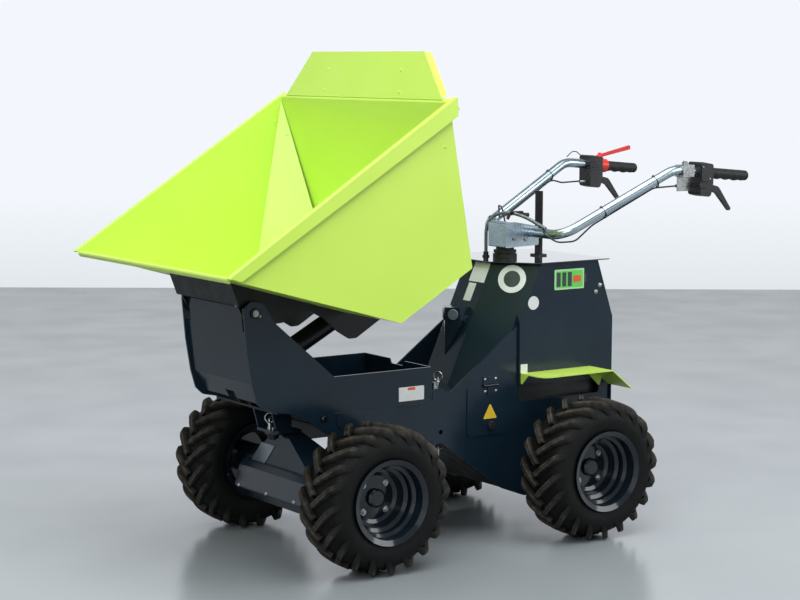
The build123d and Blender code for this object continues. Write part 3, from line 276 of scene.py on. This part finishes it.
def turned(profile, spot, along, sides=20, corners=0):
    """Profile of (radius, height) turned about a line through spot: centre + h along
    + r (cos t, sin t). With corners n the radius is multiplied by cos(pi/n) / cos(t mod 2 pi/n -
    pi/n), which gives a regular n-sided head."""
    profile = np.asarray(profile, float)
    t = np.linspace(0, 2 * np.pi, sides, endpoint=False)
    shape = np.ones_like(t)
    if corners:
        step = np.pi / corners
        shape = np.cos(step) / np.cos(np.mod(t, 2 * step) - step)
    ring = profile[:, :1] * shape
    height = np.broadcast_to(profile[:, 1:], ring.shape)
    local = np.stack([ring * np.cos(t), ring * np.sin(t), height], -1)
    return local @ axes(along) + np.asarray(spot, float), capped(len(profile), sides)


def swept(path, radius, sides=10, flat=1.0, closed=False):
    """Bar along a path: centre(u) + r(u) (n cos t + flat b sin t), n and b square to the path. An
    open bar has closed ends, a closed path makes a ring."""
    path = np.asarray(path, float)
    if closed:
        along = np.roll(path, -1, axis=0) - np.roll(path, 1, axis=0)
    else:
        along = np.gradient(path, axis=0)
    along /= np.linalg.norm(along, axis=1)[:, None]
    steady = np.eye(3)[np.abs(along).sum(axis=0).argmin()]  # the axis that the path follows least
    n = np.cross(along, steady)
    n /= np.linalg.norm(n, axis=1)[:, None]
    b = np.cross(along, n)
    t = np.linspace(0, 2 * np.pi, sides, endpoint=False)[None, :, None]
    radius = np.broadcast_to(radius, len(path))[:, None, None]
    points = path[:, None] + radius * (n[:, None] * np.cos(t) + flat * b[:, None] * np.sin(t))
    return points, grid_faces(len(path), sides, True) if closed else capped(len(path), sides)


def eased(points, count):
    """Curve drawn near its points: each stretch is the parabola a (1-s)^2/2 + b (1/2+s-s^2)
    + c s^2/2 of three points in turn. It starts half a stretch before the first point and ends
    half a stretch past the last."""
    points = np.asarray(points, float)
    before, after = 2 * points[0] - points[1], 2 * points[-1] - points[-2]
    points = np.concatenate([[before], points, [after]])
    u = np.linspace(0, len(points) - 2 - 1e-9, count)
    k = u.astype(int)
    s = (u - k)[:, None]
    a, b, c = points[k], points[k + 1], points[k + 2]
    return (a * (1 - s) ** 2 + b * (1 + 2 * s - 2 * s ** 2) + c * s ** 2) / 2


def plate(spot, normal, width, tall, thick=0.6, corner=2.0, sides=4, lean=0.0):
    """Thin plate on a face: corners rounded by an arc, centre + corner (cos t, sin t), the edge
    rolled over; three sides make a triangle with its point up, and lean slides the top sideways."""
    half = np.array([width / 2, tall / 2]) - corner
    if sides == 4:
        centres = np.array([[1, 1], [-1, 1], [-1, -1], [1, -1]]) * half
        starts = np.arange(4) * np.pi / 2
    else:
        centres = np.array([[0, 1], [-1, -1], [1, -1]]) * half
        starts = np.array([1, 5, 9]) * np.pi / 6
    steps = 6  # points on each rounded corner
    t = (starts[:, None] + np.linspace(0, 2 * np.pi / sides, steps)).ravel()
    middle = np.repeat(centres, steps, axis=0)
    ring = np.stack([np.cos(t), np.sin(t)], -1)
    rows = [(corner, SUNK), (corner, thick * 0.7), (corner - 0.3 * thick, thick)]
    local = np.stack([np.column_stack([middle + ring * r, np.full(len(t), h)]) for r, h in rows])
    local[..., 0] += lean * local[..., 1]
    return local @ axes(normal) + np.asarray(spot, float), capped(len(rows), len(t))


def disc(spot, normal, radius, thick=0.6):
    """Thin round plate on a face, its edge rolled over by 0.3 of its thickness."""
    profile = [(POLE, SUNK), (radius, SUNK), (radius, 0.7 * thick), (radius - 0.3 * thick, thick),
               (POLE, thick)]
    return turned(profile, spot, normal, 36)


# ---- tyres ---------------------------------------------------------------------------------------
LUGS = 20  # bars on each half of a tread
LUG_SLANT = np.radians(40)
LUG_RADIUS = 195  # turns a length along the tread into an angle
CARCASS_SIDES = 120
SECTION = np.array([  # share of the half section, radius, offset: crown, shoulder, bulge, bead
    (0, 191, 0), (0.22, 189.5, 32), (0.36, 185, 56), (0.46, 176, 70), (0.58, 162, 79),
    (0.74, 145, 82), (0.88, 126, 79.5), (0.95, 117.5, 77.5), (1, 114, 74.5)])
BORE = np.array([(106, 72), (104, 66), (104, 52), (106, 50), (150, 62), (178, 50)], float)
LUG_SECTION = np.array([  # share of the half width, share of the height, and how much dry earth and painted highlight it carries, most on the top edges
    (-1.3, 0, 0), (-1.0, 0.88, 0.6), (-0.86, 1, 1), (0, 1, 0.35), (0.86, 1, 1), (1.0, 0.88, 0.6),
    (1.3, 0, 0)])
LUG_REACH = (-9, 82.3)  # no bar goes further over the crown or past the wall's bulge than this


def about_axle(radius, offset, angle, centre):
    """x = r sin a, y = offset, z = r cos a from the wheel's centre."""
    return np.stack(np.broadcast_arrays(centre[0] + radius * np.sin(angle), centre[1] + offset,
                                        centre[2] + radius * np.cos(angle)), -1)


def tyre_carcass(centre):
    """Half section read from the table, eased three times by averaging each point with its
    neighbours, mirrored, closed through the bore and turned once round the axle."""
    s = np.linspace(0, 1, 30)
    half = np.stack([np.interp(s, SECTION[:, 0], SECTION[:, k]) for k in (1, 2)], 1)
    for _ in range(3):
        half[1:-1] = 0.25 * half[:-2] + 0.5 * half[1:-1] + 0.25 * half[2:]
    half = np.concatenate([half, BORE])
    ring = np.concatenate([half, half[:0:-1] * (1, -1)])
    angle = np.linspace(0, 2 * np.pi, CARCASS_SIDES, endpoint=False)
    points = about_axle(ring[:, :1], ring[:, 1:], angle[None], centre)
    return points, grid_faces(len(ring), CARCASS_SIDES, True)


def tyre_lug(centre, turn, side):
    """One bar of the tread: its middle line goes from the crown to the shoulder while it falls
    behind by the tangent of its slant, its section is a bar with leaning sides, and its height
    fades out down the wall. Returns its points and faces, and how much dry earth and painted
    highlight each point carries, most on the top edges."""
    u = np.linspace(0, 1, 13)
    offset = np.interp(u, [0, 0.62, 0.8, 1], [-5, 61, 74, 79.5])
    base = np.interp(u, [0, 0.62, 0.8, 0.9, 1], [191, 182, 176, 169, 162]) - 2
    top = np.interp(u, [0, 0.3, 0.62, 0.8, 0.9, 1], [205, 204.6, 202, 196, 184, 164.5])
    lag = -np.interp(u, [0, 0.8, 0.9, 1], [-5, 74, 80, 86]) * np.tan(LUG_SLANT) / LUG_RADIUS
    wide = np.interp(u, [0, 0.05, 0.8, 1], [5.5, 7.0, 8.6, 9.6])
    across, rise, edge_earth_and_highlight = LUG_SECTION.T
    wander = across[None] * wide[:, None]
    radius = base[:, None] + (top - base)[:, None] * rise[None]
    squeeze = np.interp(u, [0, 0.75, 1], [1, 0.5, 0])[:, None]
    out = np.clip(offset[:, None] + wander * np.sin(LUG_SLANT) * squeeze, *LUG_REACH)
    angle = turn + lag[:, None] + wander * np.cos(LUG_SLANT) / LUG_RADIUS
    points = about_axle(radius, side * out, angle, centre)
    faces = capped(len(u), len(across))
    if side > 0:
        faces = [face[::-1] for face in faces]
    fade = np.clip(u * 12, 0, 1) * np.clip((1 - u) * 6, 0, 1)
    fade = fade * np.interp(u, [0, 0.7, 1], [1, 0.9, 0])
    return (points, faces), (edge_earth_and_highlight[None] * fade[:, None]).ravel()


# a rim's nuts: the radius of their circle, how far inside the tyre's middle they sit, half a width
NUT_CIRCLE, NUT_SEAT, NUT_SIZE = 51, 2, 7


def wheels():
    """Treaded tyre in place of each plain one, and the nuts on the disc of each rim. The bars of
    a tread's right half stand halfway between those of its left."""
    for corner in CORNERS:
        low, high = np.array(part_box("tyre_" + corner)) / MM
        centre = (low + high) / 2 - (AXLE_X, 0, 0)
        carcass = tyre_carcass(centre)
        parts, earth_and_highlight = [carcass], [np.zeros(len(carcass[0].reshape(-1, 3)))]
        for side in (1, -1):
            for k in range(LUGS):
                part, earth_and_highlight_share = tyre_lug(centre, 2 * np.pi * (k + 0.25 * (1 - side)) / LUGS, side)
                parts.append(part)
                earth_and_highlight.append(earth_and_highlight_share)
        tyre = piece("treaded_tyre_" + corner, parts, "vulcanised_tyre_rubber",
                     "wheel_" + corner, np.concatenate(earth_and_highlight))
        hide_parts("tyre_" + corner)
        out = 1 if centre[1] > 0 else -1
        nuts = [nut((centre[0] + NUT_CIRCLE * math.cos(a), centre[1] - out * NUT_SEAT,
                     centre[2] + NUT_CIRCLE * math.sin(a)), (0, out, 0), NUT_SIZE)
                for a in np.radians([45, 135, 225, 315])]
        piece("wheel_nuts_" + corner, sum(nuts, []), "zinc_plated_fastener",
              "wheel_" + corner)


# ---- fasteners -----------------------------------------------------------------------------------
# profiles of (radius, height), to be multiplied by a size
WASHER = np.array([(0.01, 0), (1.3, 0), (1.3, 0.14), (0.01, 0.15)])
HEX = np.array([(0.01, 0.1), (1, 0.1), (1, 0.6), (0.9, 0.7), (0.01, 0.72)])
STUD = np.array([(0.01, 0.6), (0.52, 0.6), (0.52, 1.0), (0.44, 1.08), (0.01, 1.09)])
DOME = np.array([(0.01, -0.05), (1, -0.05), (0.98, 0.12), (0.8, 0.34), (0.45, 0.5), (0.01, 0.55)])
HINGE_SCREWS = (-496.5, -535)  # places along the hatches' hinges
SKIP_REAR, BEAM_FRONT = (0.987, 0, 0.163), (0.966, 0, 0.258)  # directions out of two sloping faces


def bolt(spot, axis, size):
    """Washer and hexagon head, size being half its width."""
    return [turned(WASHER * size, spot, axis), turned(HEX * size, spot, axis, 24, corners=6)]


def nut(spot, axis, size):
    """A bolt's head with the end of its stud standing out of it."""
    return bolt(spot, axis, size) + [turned(STUD * size, spot, axis, 12)]


def rivet(spot, axis, size):
    """Domed head, size being its radius."""
    return [turned(DOME * size, spot, axis, 14)]


def both_sides(x, y, z, axis):
    """A place and the direction out of it, and their mirror image across the machine."""
    return [((x, y, z), axis), ((x, -y, z), (axis[0], -axis[1], axis[2]))]


def fasteners():
    """Rivets, bolts and screws on the faces of the CAD nodes."""
    zinc, steel = "zinc_plated_fastener", "zinc_steel"
    # name, maker of the part, finish, slot, body, size, and each one's place and direction
    rows = [
        ("skip_side_rivets", rivet, "powder_coated_sheet_lime", "lime_paint", "skip", 4.5,
         both_sides(-154.7, -426, 1193.5, (0, 1, 0))
         + both_sides(-181.3, -401.2, 1152.1, (0.657, 0.744, 0.119))
         + both_sides(-180.6, 191.2, 1288.7, SKIP_REAR)
         + both_sides(-190.5, 186.1, 1348.6, SKIP_REAR)
         + both_sides(-166.6, 430, 1147.2, (0, 1, 0))),
        ("skip_hinge_bolts", bolt, zinc, steel, "chassis", 7,
         both_sides(269, 176, 705, (0, 1, 0))),
        ("skip_hinge_keepers", rivet, zinc, steel, "chassis", 4.5,
         both_sides(253, 172, 696.5, (0, 1, 0))),
        ("pedestal_bolts", rivet, zinc, steel, "chassis", 7.5,
         [((x, y * 180, z), (0, y, 0))
          for y in (1, -1) for x, z in ((-918.4, 710), (-903.2, 691.4))]),
        ("hinge_screws_upper", rivet, zinc, steel, "chassis", 4.6,
         [((x, y * 174.5, 460.4), (0, y, 0)) for x in HINGE_SCREWS for y in (1, -1)]),
        *[("hinge_screws_" + side, rivet, zinc, steel, f"hatch_{side}_body", 4.6,
           [((x, y * 175.3, 425.5), (0, y, 0)) for x in HINGE_SCREWS]) for side, y in SIDES],
        ("axle_beam_bolts", rivet, zinc, steel, "chassis", 6.5,
         [((132.9, -158.3, 168), BEAM_FRONT), ((132.7, -5.6, 169), BEAM_FRONT),
          ((132.1, 141.7, 171.3), BEAM_FRONT)]),
        ("tub_side_bolts", bolt, "powder_coated_rim_anthracite", "anthracite_paint", "chassis", 9,
         both_sides(52.5, 172, 399.2, (0, 1, 0))),
    ]
    for name, shape, look, slot, body, size, spots in rows:
        parts = sum((shape(spot, axis, size) for spot, axis in spots), [])
        piece(name, parts, look, body)


def linchpin(top, lean):
    """Round pin with a ring of wire through its head, centre + 13 (cos t, sin t), and a domed
    collar under the head."""
    top = np.asarray(top, float)
    t = np.linspace(0, 2 * np.pi, 28, endpoint=False)
    across, up, _ = axes(lean)
    ring = top + 8 * up + 13 * (np.cos(t)[:, None] * across + np.sin(t)[:, None] * up)
    pin = [(POLE, -26), (4.4, -26), (4.4, 3), (3, 6), (POLE, 6.2)]
    return [turned(pin, top, up, 14), swept(ring, 2.2, 8, closed=True),
            turned(DOME * 8, top - 7 * up, up, 14)]


def linchpins():
    """Linchpins of the coupling's four pins and of the axle's pin, and the axle pin's washer."""
    zinc, steel = "zinc_plated_fastener", "zinc_steel"
    parts = linchpin((-382, 100, 462), (0.83, 0.5, 0.1))
    parts += linchpin((-345, -100, 462), (0.7, 0.7, 0.1))
    for _, y in SIDES:
        # the lower two have no domed collar
        parts += linchpin((-386, y * 100, 262), (0.83, y * 0.5, 0.1))[:2]
    piece("coupling_linchpins", parts, zinc, "chassis")
    piece("axle_linchpin", linchpin((130, 12, 379), (0.57, 0.82, 0.1)), zinc, "chassis")
    washer = turned([(POLE, 0), (17, 0), (17, 4), (POLE, 4.2)], (112, 0, 354.5), (0, 0, 1), 24)
    piece("axle_pin_washer", [washer], zinc, "chassis")


# ---- plates --------------------------------------------------------------------------------------
def plates():
    """Blank plates, the gauge and the stop's discs, each on the face that carries it."""
    nose, corner, left = (0.911, 0, 0.413), (0.743, 0.579, 0.337), (0, 1, 0)
    white, orange, slate = (f"laminated_vinyl_{shade}" for shade in ("white", "orange", "slate"))
    badge = np.array((-629.6, 124.2, 740))
    # name, shape, finish, body
    rows = [
        ("nose_plate_upper", plate((-588, 23, 754), nose, 74, 62), white, "chassis"),
        ("nose_plate_lower", plate((-561.6, 9, 696), nose, 36, 56), white, "chassis"),
        ("round_badge", disc(badge, corner, 42), white, "chassis"),
        ("round_badge_centre", disc(badge + 0.7 * np.array(corner), corner, 25, 0.3), slate,
         "chassis"),
        ("round_plate_small", disc((-666.5, 180, 672.5), left, 20), white, "chassis"),
        ("square_plate_small", plate((-633.8, 180, 481), left, 25, 27), white, "chassis"),
        ("hatch_triangle", plate((-514.2, 175.3, 366), left, 46, 42, corner=3, sides=3),
         "laminated_vinyl_yellow", "hatch_left_body"),
        ("tub_plate", plate((-239, 172, 443), left, 86, 40), white, "chassis"),
        ("tub_plate_bar", plate((-239, 172.6, 457), left, 26, 8, 0.3, 1.0), orange, "chassis"),
        ("gauge_frame", plate((-800, 180, 735), left, 112, 60, corner=3),
         "laminated_vinyl_pale_green", "chassis"),
        ("gauge_field", plate((-800, 180.6, 735), left, 102, 50, 0.3, 2.0),
         "laminated_vinyl_green", "chassis"),
        ("gauge_end", plate((-861, 180, 735), left, 7, 26, corner=2), slate, "chassis"),
        ("gauge_charge", plate((-829, 181, 735), left, 30, 20, 0.3, 4.0), orange, "chassis"),
        ("axle_plate", plate((92.2, -87, 268), (0.999, 0, 0.04), 72, 58, lean=0.9),
         "anodised_plate_grey", "chassis"),
    ]
    for side, y in SIDES:
        rows += [("stop_disc_" + side, disc((-490, y * 24, 634), (0.843, y * 0.537, 0), 16, 2.5),
                  "anodised_plate_grey", "chassis"),
                 ("stop_disc_outer_" + side, disc((-529, y * 43, 616), (0, y, 0), 14, 2.5),
                  "powder_coated_plate_anthracite", "chassis")]
    for name, part, look, body in rows:
        piece(name, [part], look, body)
    bars = [plate((x, 181, 735), left, 15, 42, 0.3, 1.5) for x in (-759, -780, -801)]
    piece("gauge_bars", bars, slate, "chassis")


# ---- handlebar -----------------------------------------------------------------------------------
ARM_FOOT, ARM_BEND = np.array((-763.0, 192, 866)), np.array((-1134.0, 258, 1052))  # of the left arm
GRIP_LINE = np.array((-301.0, 0, -27)) / math.hypot(301, 27)
GRIP_END = np.array((-1435.0, 258, 1025))
GRIP_LENGTH = 162


def zip_tie(share, side, drop):
    """Flat band round the arm and the cable beside it, with its square head; share runs up the arm,
    and drop is how far the cable hangs below it: the band is centre + 13.4 cos t across +
    (13.4 + drop) sin t up."""
    mirror = np.array((1, side, 1))
    along = (ARM_BEND - ARM_FOOT) * mirror
    centre = (ARM_FOOT * mirror) + along * share + (0, 0, -drop)
    across, up, along = axes(along)
    t = np.linspace(0, 2 * np.pi, 36, endpoint=False)
    ring = centre + 13.4 * np.cos(t)[:, None] * across + (13.4 + drop) * np.sin(t)[:, None] * up
    head = [(POLE, -3), (4.2, -3), (4.2, 3), (POLE, 3.1)]
    return [swept(ring, 2.4, 8, closed=True),
            turned(head, centre + up * (14.5 + drop), along, 8, corners=4)]


def grip(side):
    """Moulded grip: radius 15.5 with a flange in front and a domed end; its underside has four
    finger waves, 1.5 (1 + cos(9 pi u)) added to the radius the more a point faces down."""
    u = np.linspace(0, 1, 90)
    radius = 15.5 + 5.5 * np.clip((0.035 - u) / 0.01, 0, 1)
    radius = radius * np.sqrt(np.clip(1 - np.clip((u - 0.94) / 0.0601, 0, 1) ** 2, 0.001, 1))
    t = np.linspace(0, 2 * np.pi, 28, endpoint=False)
    across, up, along = axes(GRIP_LINE)
    down = np.clip(-np.sin(t), 0, 1) ** 2
    fade = np.clip(u / 0.1, 0, 1) * np.clip((0.9 - u) / 0.1, 0, 1)
    wave = (1.5 * fade * (1 + np.cos(9 * np.pi * u)))[:, None] * down
    reach = radius[:, None] + wave
    start = GRIP_END - GRIP_LINE * (GRIP_LENGTH + 1)
    points = (start + along * (u * GRIP_LENGTH)[:, None])[:, None] + reach[..., None] * (
        np.cos(t)[:, None] * across + np.sin(t)[:, None] * up)
    faces = capped(len(u), len(t))
    if side < 0:
        return points * (1, -1, 1), [face[::-1] for face in faces]
    return points, faces


def bar_fittings():
    """Grips, ties, the conduit, and the clamp lever, knob and bolts of the steering column."""
    grips = piece("moulded_grips", [grip(1), grip(-1)], "moulded_nitrile_rubber",
                  "handlebar")
    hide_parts("hand_grips")
    ties = [zip_tie(0.83, 1, 3), zip_tie(0.36, 1, 3), zip_tie(0.80, -1, 2), zip_tie(0.09, -1, 2)]
    piece("zip_ties", sum(ties, []), "extruded_pvc_sheath", "handlebar")
    # conduit: out of its gland on the top plate, over the steering head to the bar's left corner
    route = eased([(-672, -60, 806), (-672, -60, 840), (-672, -60, 878), (-684, -50, 912),
                   (-712, -10, 926), (-738, 40, 914), (-751, 80, 896), (-757, 104, 886)], 60)
    bend = ("chassis", "handlebar", (-672, -60, 808), (-700, -30, 915))
    conduit = piece("bending_conduit", [swept(route, 5.2, 12)], "braided_conduit_grey",
                    bend)
    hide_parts("conduit")
    # clamp lever and knob of the steering column, behind the head
    lever = swept([(-712, 12, 922), (-730, 4, 923), (-768, -8, 921)], [6.5, 5, 5.5], 12)
    knob = turned([(POLE, 0), (8, 0), (10, 3), (10, 9), (8, 12), (POLE, 12.5)],
                  (-788, -14, 907), (0, 0, 1), 18)
    stem = swept([(-700, 8, 905), (-708, 10, 922)], 5, 12)
    piece("column_clamp_lever", [lever, knob, stem], "moulded_glass_filled_nylon",
          "handlebar")
    # bolts through the head and the bar's clamp
    heads = [part for _, y in SIDES for x, z in ((-700, 850), (-742, 846))
             for part in bolt((x, y * 43, z), (0, y, 0), 6.5)]
    heads += bolt((-1178, 258, 1073), (0, 0, 1), 6)
    piece("steering_bolts", heads, "zinc_plated_fastener", "handlebar")


def bar_controls():
    """Clamp of the red lever, and the covers, ribs and screws of the switch boxes."""
    # red lever's clamp round the right grip, and the web that carries the lever
    collar = turned([(POLE, -17), (22, -17), (22, 13), (20, 15), (POLE, 15.1)],
                    (-1288, -258, 1038), GRIP_LINE, 28)
    web = swept([(-1286, -262, 1048), (-1292, -272, 1062), (-1302, -282, 1074)], [9, 8, 5], 12,
                flat=1.6)
    piece("safety_lever_clamp", [collar, web], "moulded_acetal_red", "handlebar")
    # five ribs on the right box's inner face, a raised cover on each box's outer face, and a small
    # one below that on the left
    left, right = (0, 1, 0), (0, -1, 0)
    covers = [plate((-1216 - 3 * k, -230, 1062 - 9 * k), left, 44, 3, 2.2, 1.0) for k in range(5)]
    covers += [plate((-1240, 286, 1040), left, 40, 52, 3, 8.0),
               plate((-1228, 286, 1002), left, 30, 16, 4, 4.0),
               plate((-1240, -286, 1040), right, 40, 52, 3, 8.0)]
    piece("switch_box_covers", covers, "moulded_glass_filled_nylon", "handlebar")
    screws = [rivet((x, y * 289, z), (0, y, 0), 3)
              for _, y in SIDES for x, z in ((-1226, 1058), (-1254, 1022))]
    piece("switch_box_screws", sum(screws, []), "zinc_plated_fastener", "handlebar")


# ---- body details --------------------------------------------------------------------------------
def hatch_locks():
    """Black bezel round the lock of each hatch."""
    bezel = [(POLE, -3), (13, -3), (13, 1.2), (12, 2), (POLE, 2.2)]
    for side, y in SIDES:
        piece("hatch_lock_" + side, [turned(bezel, (-517, y * 183, 326), (0, y, 0), 28)],
              "moulded_glass_filled_nylon", f"hatch_{side}_body")


def plate_edge_shadow_bars():
    """Lower edge of the doubled plate on each side of the front frame, in two steps: a thin bar in
    black enamel, its dark colour a painted shadow under the overlapping plate's edge.
    """
    edges = [swept([(a, side * y, 410.3), (b, side * y, 411.8)], 1.5, 8)
             for _, side in SIDES for a, b, y in ((20, -194, 172.2), (-194, -290, 175.2))]
    # the black of these bars is a painted shadow along the edge of the doubled plate
    piece("side_plate_edge_shadows", edges, "brushed_enamel_black", "chassis")


# ---- floor, walls, lights, camera ----------------------------------------------------------------
# in metres: half the floor, half a wall's length, its height, and how far the first wall stands
# from the origin
FLOOR_HALF, WALL_HALF, WALL_TALL, WALL_GAP = 30, 16, 5, 6.27
WALL_ALONG, WALL_BACK = np.array((-0.823, 0.568, 0)), np.array((-0.568, -0.823, 0))
ROLL = math.radians(0.16)  # the camera isn't quite level


def wall_paint():
    """White painted plaster, with a painted shade that makes it greyer towards its foot. The
    camera, reflections and rays through glass see its inner face as an even white, greyed by that
    painted shade near its foot; other light meets it as plain matt paint, and its back is clear."""
    wall = bpy.data.materials.new("painted_plaster_white")
    wall.use_nodes = True
    tree = wall.node_tree
    tree.nodes.clear()
    place = add(tree, "ShaderNodeTexCoord").outputs["Object"]
    rise = add(tree, "ShaderNodeSeparateXYZ", {0: place}).outputs[2]
    # painted shade: the wall's white greys towards its foot, below 0.55 m above the floor
    low = add(tree, "ShaderNodeMapRange", {"Value": rise, "From Min": 0.02, "From Max": 0.55})
    white = add(tree, "ShaderNodeMix",
                {0: low.outputs[0], 6: colour("#E2E8EB"), 7: colour("#F3F7FD")}, data_type="RGBA")
    ray = add(tree, "ShaderNodeLightPath")
    seen = add(tree, "ShaderNodeMath",
               {0: ray.outputs["Is Camera Ray"], 1: ray.outputs["Is Glossy Ray"]},
               operation="MAXIMUM")
    seen = add(tree, "ShaderNodeMath", {0: seen.outputs[0], 1: ray.outputs["Is Transmission Ray"]},
               operation="MAXIMUM")
    paint = add(tree, "ShaderNodeBsdfDiffuse", {"Color": colour("#C9CDD0")})
    glow = add(tree, "ShaderNodeEmission", {"Color": white.outputs[2], "Strength": 1.0})
    front = add(tree, "ShaderNodeMixShader",
                {0: seen.outputs[0], 1: paint.outputs[0], 2: glow.outputs[0]})
    clear = add(tree, "ShaderNodeBsdfTransparent")
    behind = add(tree, "ShaderNodeNewGeometry").outputs["Backfacing"]
    both = add(tree, "ShaderNodeMixShader", {0: behind, 1: front.outputs[0], 2: clear.outputs[0]})
    add(tree, "ShaderNodeOutputMaterial", {"Surface": both.outputs[0]})
    return wall


def stage():
    """Pale floor and four white walls that face inwards, the first one behind the machine."""
    # sealed concrete: pale, even and glossy enough to mirror the machine faintly; its real grain of
    # a millimetre or so is too fine to show and is drawn 60 mm across
    finish("sealed_concrete_pale", ("#90979B", "#9BA2A5"), 900, (0.17, 0.25), 60, 0.05)
    corners = ((-1, -1), (1, -1), (1, 1), (-1, 1))
    sheets = {"floor": [(x * FLOOR_HALF, y * FLOOR_HALF, 0) for x, y in corners]}
    ring = [WALL_GAP * WALL_BACK - WALL_HALF * WALL_ALONG,
            WALL_GAP * WALL_BACK + WALL_HALF * WALL_ALONG,
            -WALL_HALF * WALL_BACK + WALL_HALF * WALL_ALONG,
            -WALL_HALF * WALL_BACK - WALL_HALF * WALL_ALONG]
    turn = np.sign(np.cross(ring[1] - ring[0], ring[2] - ring[1])[2])
    for k, first in enumerate(ring):
        second = ring[(k + 1) % len(ring)]
        a, b = (first, second) if turn < 0 else (second, first)
        sheets[f"wall_{k + 1}"] = [a, b, b + (0, 0, WALL_TALL), a + (0, 0, WALL_TALL)]
    concrete, wall = bpy.data.materials["sealed_concrete_pale"], wall_paint()
    for name, outline in sheets.items():
        mesh = bpy.data.meshes.new(name)
        mesh.from_pydata([tuple(map(float, p)) for p in outline], [], [(0, 1, 2, 3)])
        mesh.materials.append(concrete if name == "floor" else wall)
        made = bpy.data.objects.new(name, mesh)
        bpy.context.scene.collection.objects.link(made)


def lights():
    """Wide soft panels overhead, to the front left and to the rear left, and a dim surrounding."""
    # name, place and aim in metres, size in metres, watts
    rows = [("overhead", (0.6, 0.8, 4.2), (0, 0, 0.4), (5.0, 4.0), 215),
            ("front_left", (3.6, 3.4, 2.6), (0, 0, 0.6), (2.6, 2.2), 80),
            ("rear_left", (-3.2, 3.6, 2.4), (0, 0, 0.6), (2.4, 2.2), 68)]
    for name, spot, aim, size, power in rows:
        light = bpy.data.lights.new(name, "AREA")
        light.shape, light.size, light.size_y, light.energy = "RECTANGLE", *size, power
        made = bpy.data.objects.new(name, light)
        made.location = spot
        made.rotation_euler = (Vector(aim) - Vector(spot)).to_track_quat("-Z", "Y").to_euler()
        bpy.context.scene.collection.objects.link(made)
    world = bpy.data.worlds.new("studio")
    world.use_nodes = True
    world.node_tree.nodes.clear()
    around = add(world.node_tree, "ShaderNodeBackground",
                 {"Color": colour("#E8EEF2"), "Strength": 0.38})
    add(world.node_tree, "ShaderNodeOutputWorld", {"Surface": around.outputs[0]})
    bpy.context.scene.world = world
    bpy.context.scene.view_settings.view_transform = "Standard"


def camera():
    """Camera beyond the front left corner, level with the skip's top, with a long lens."""
    shift = Vector((AXLE_X * MM, 0, 0))
    spot = Vector((2.9749, 4.7863, 1.3774)) + shift
    target = Vector((-0.3173, 0, 0.6861)) + shift
    lens = bpy.data.cameras.new("camera")
    lens.lens, lens.sensor_width = 90.97, 36
    made = bpy.data.objects.new("camera", lens)
    made.location = spot
    turn = (target - spot).to_track_quat("-Z", "Y").to_matrix()
    made.rotation_euler = (turn @ Matrix.Rotation(ROLL, 3, "Z")).to_euler()
    bpy.context.scene.collection.objects.link(made)
    bpy.context.scene.camera = made


make_finishes()
camera()
finish_nodes()
wheels()
fasteners()
linchpins()
plates()
bar_fittings()
bar_controls()
hatch_locks()
plate_edge_shadow_bars()
stage()
lights()
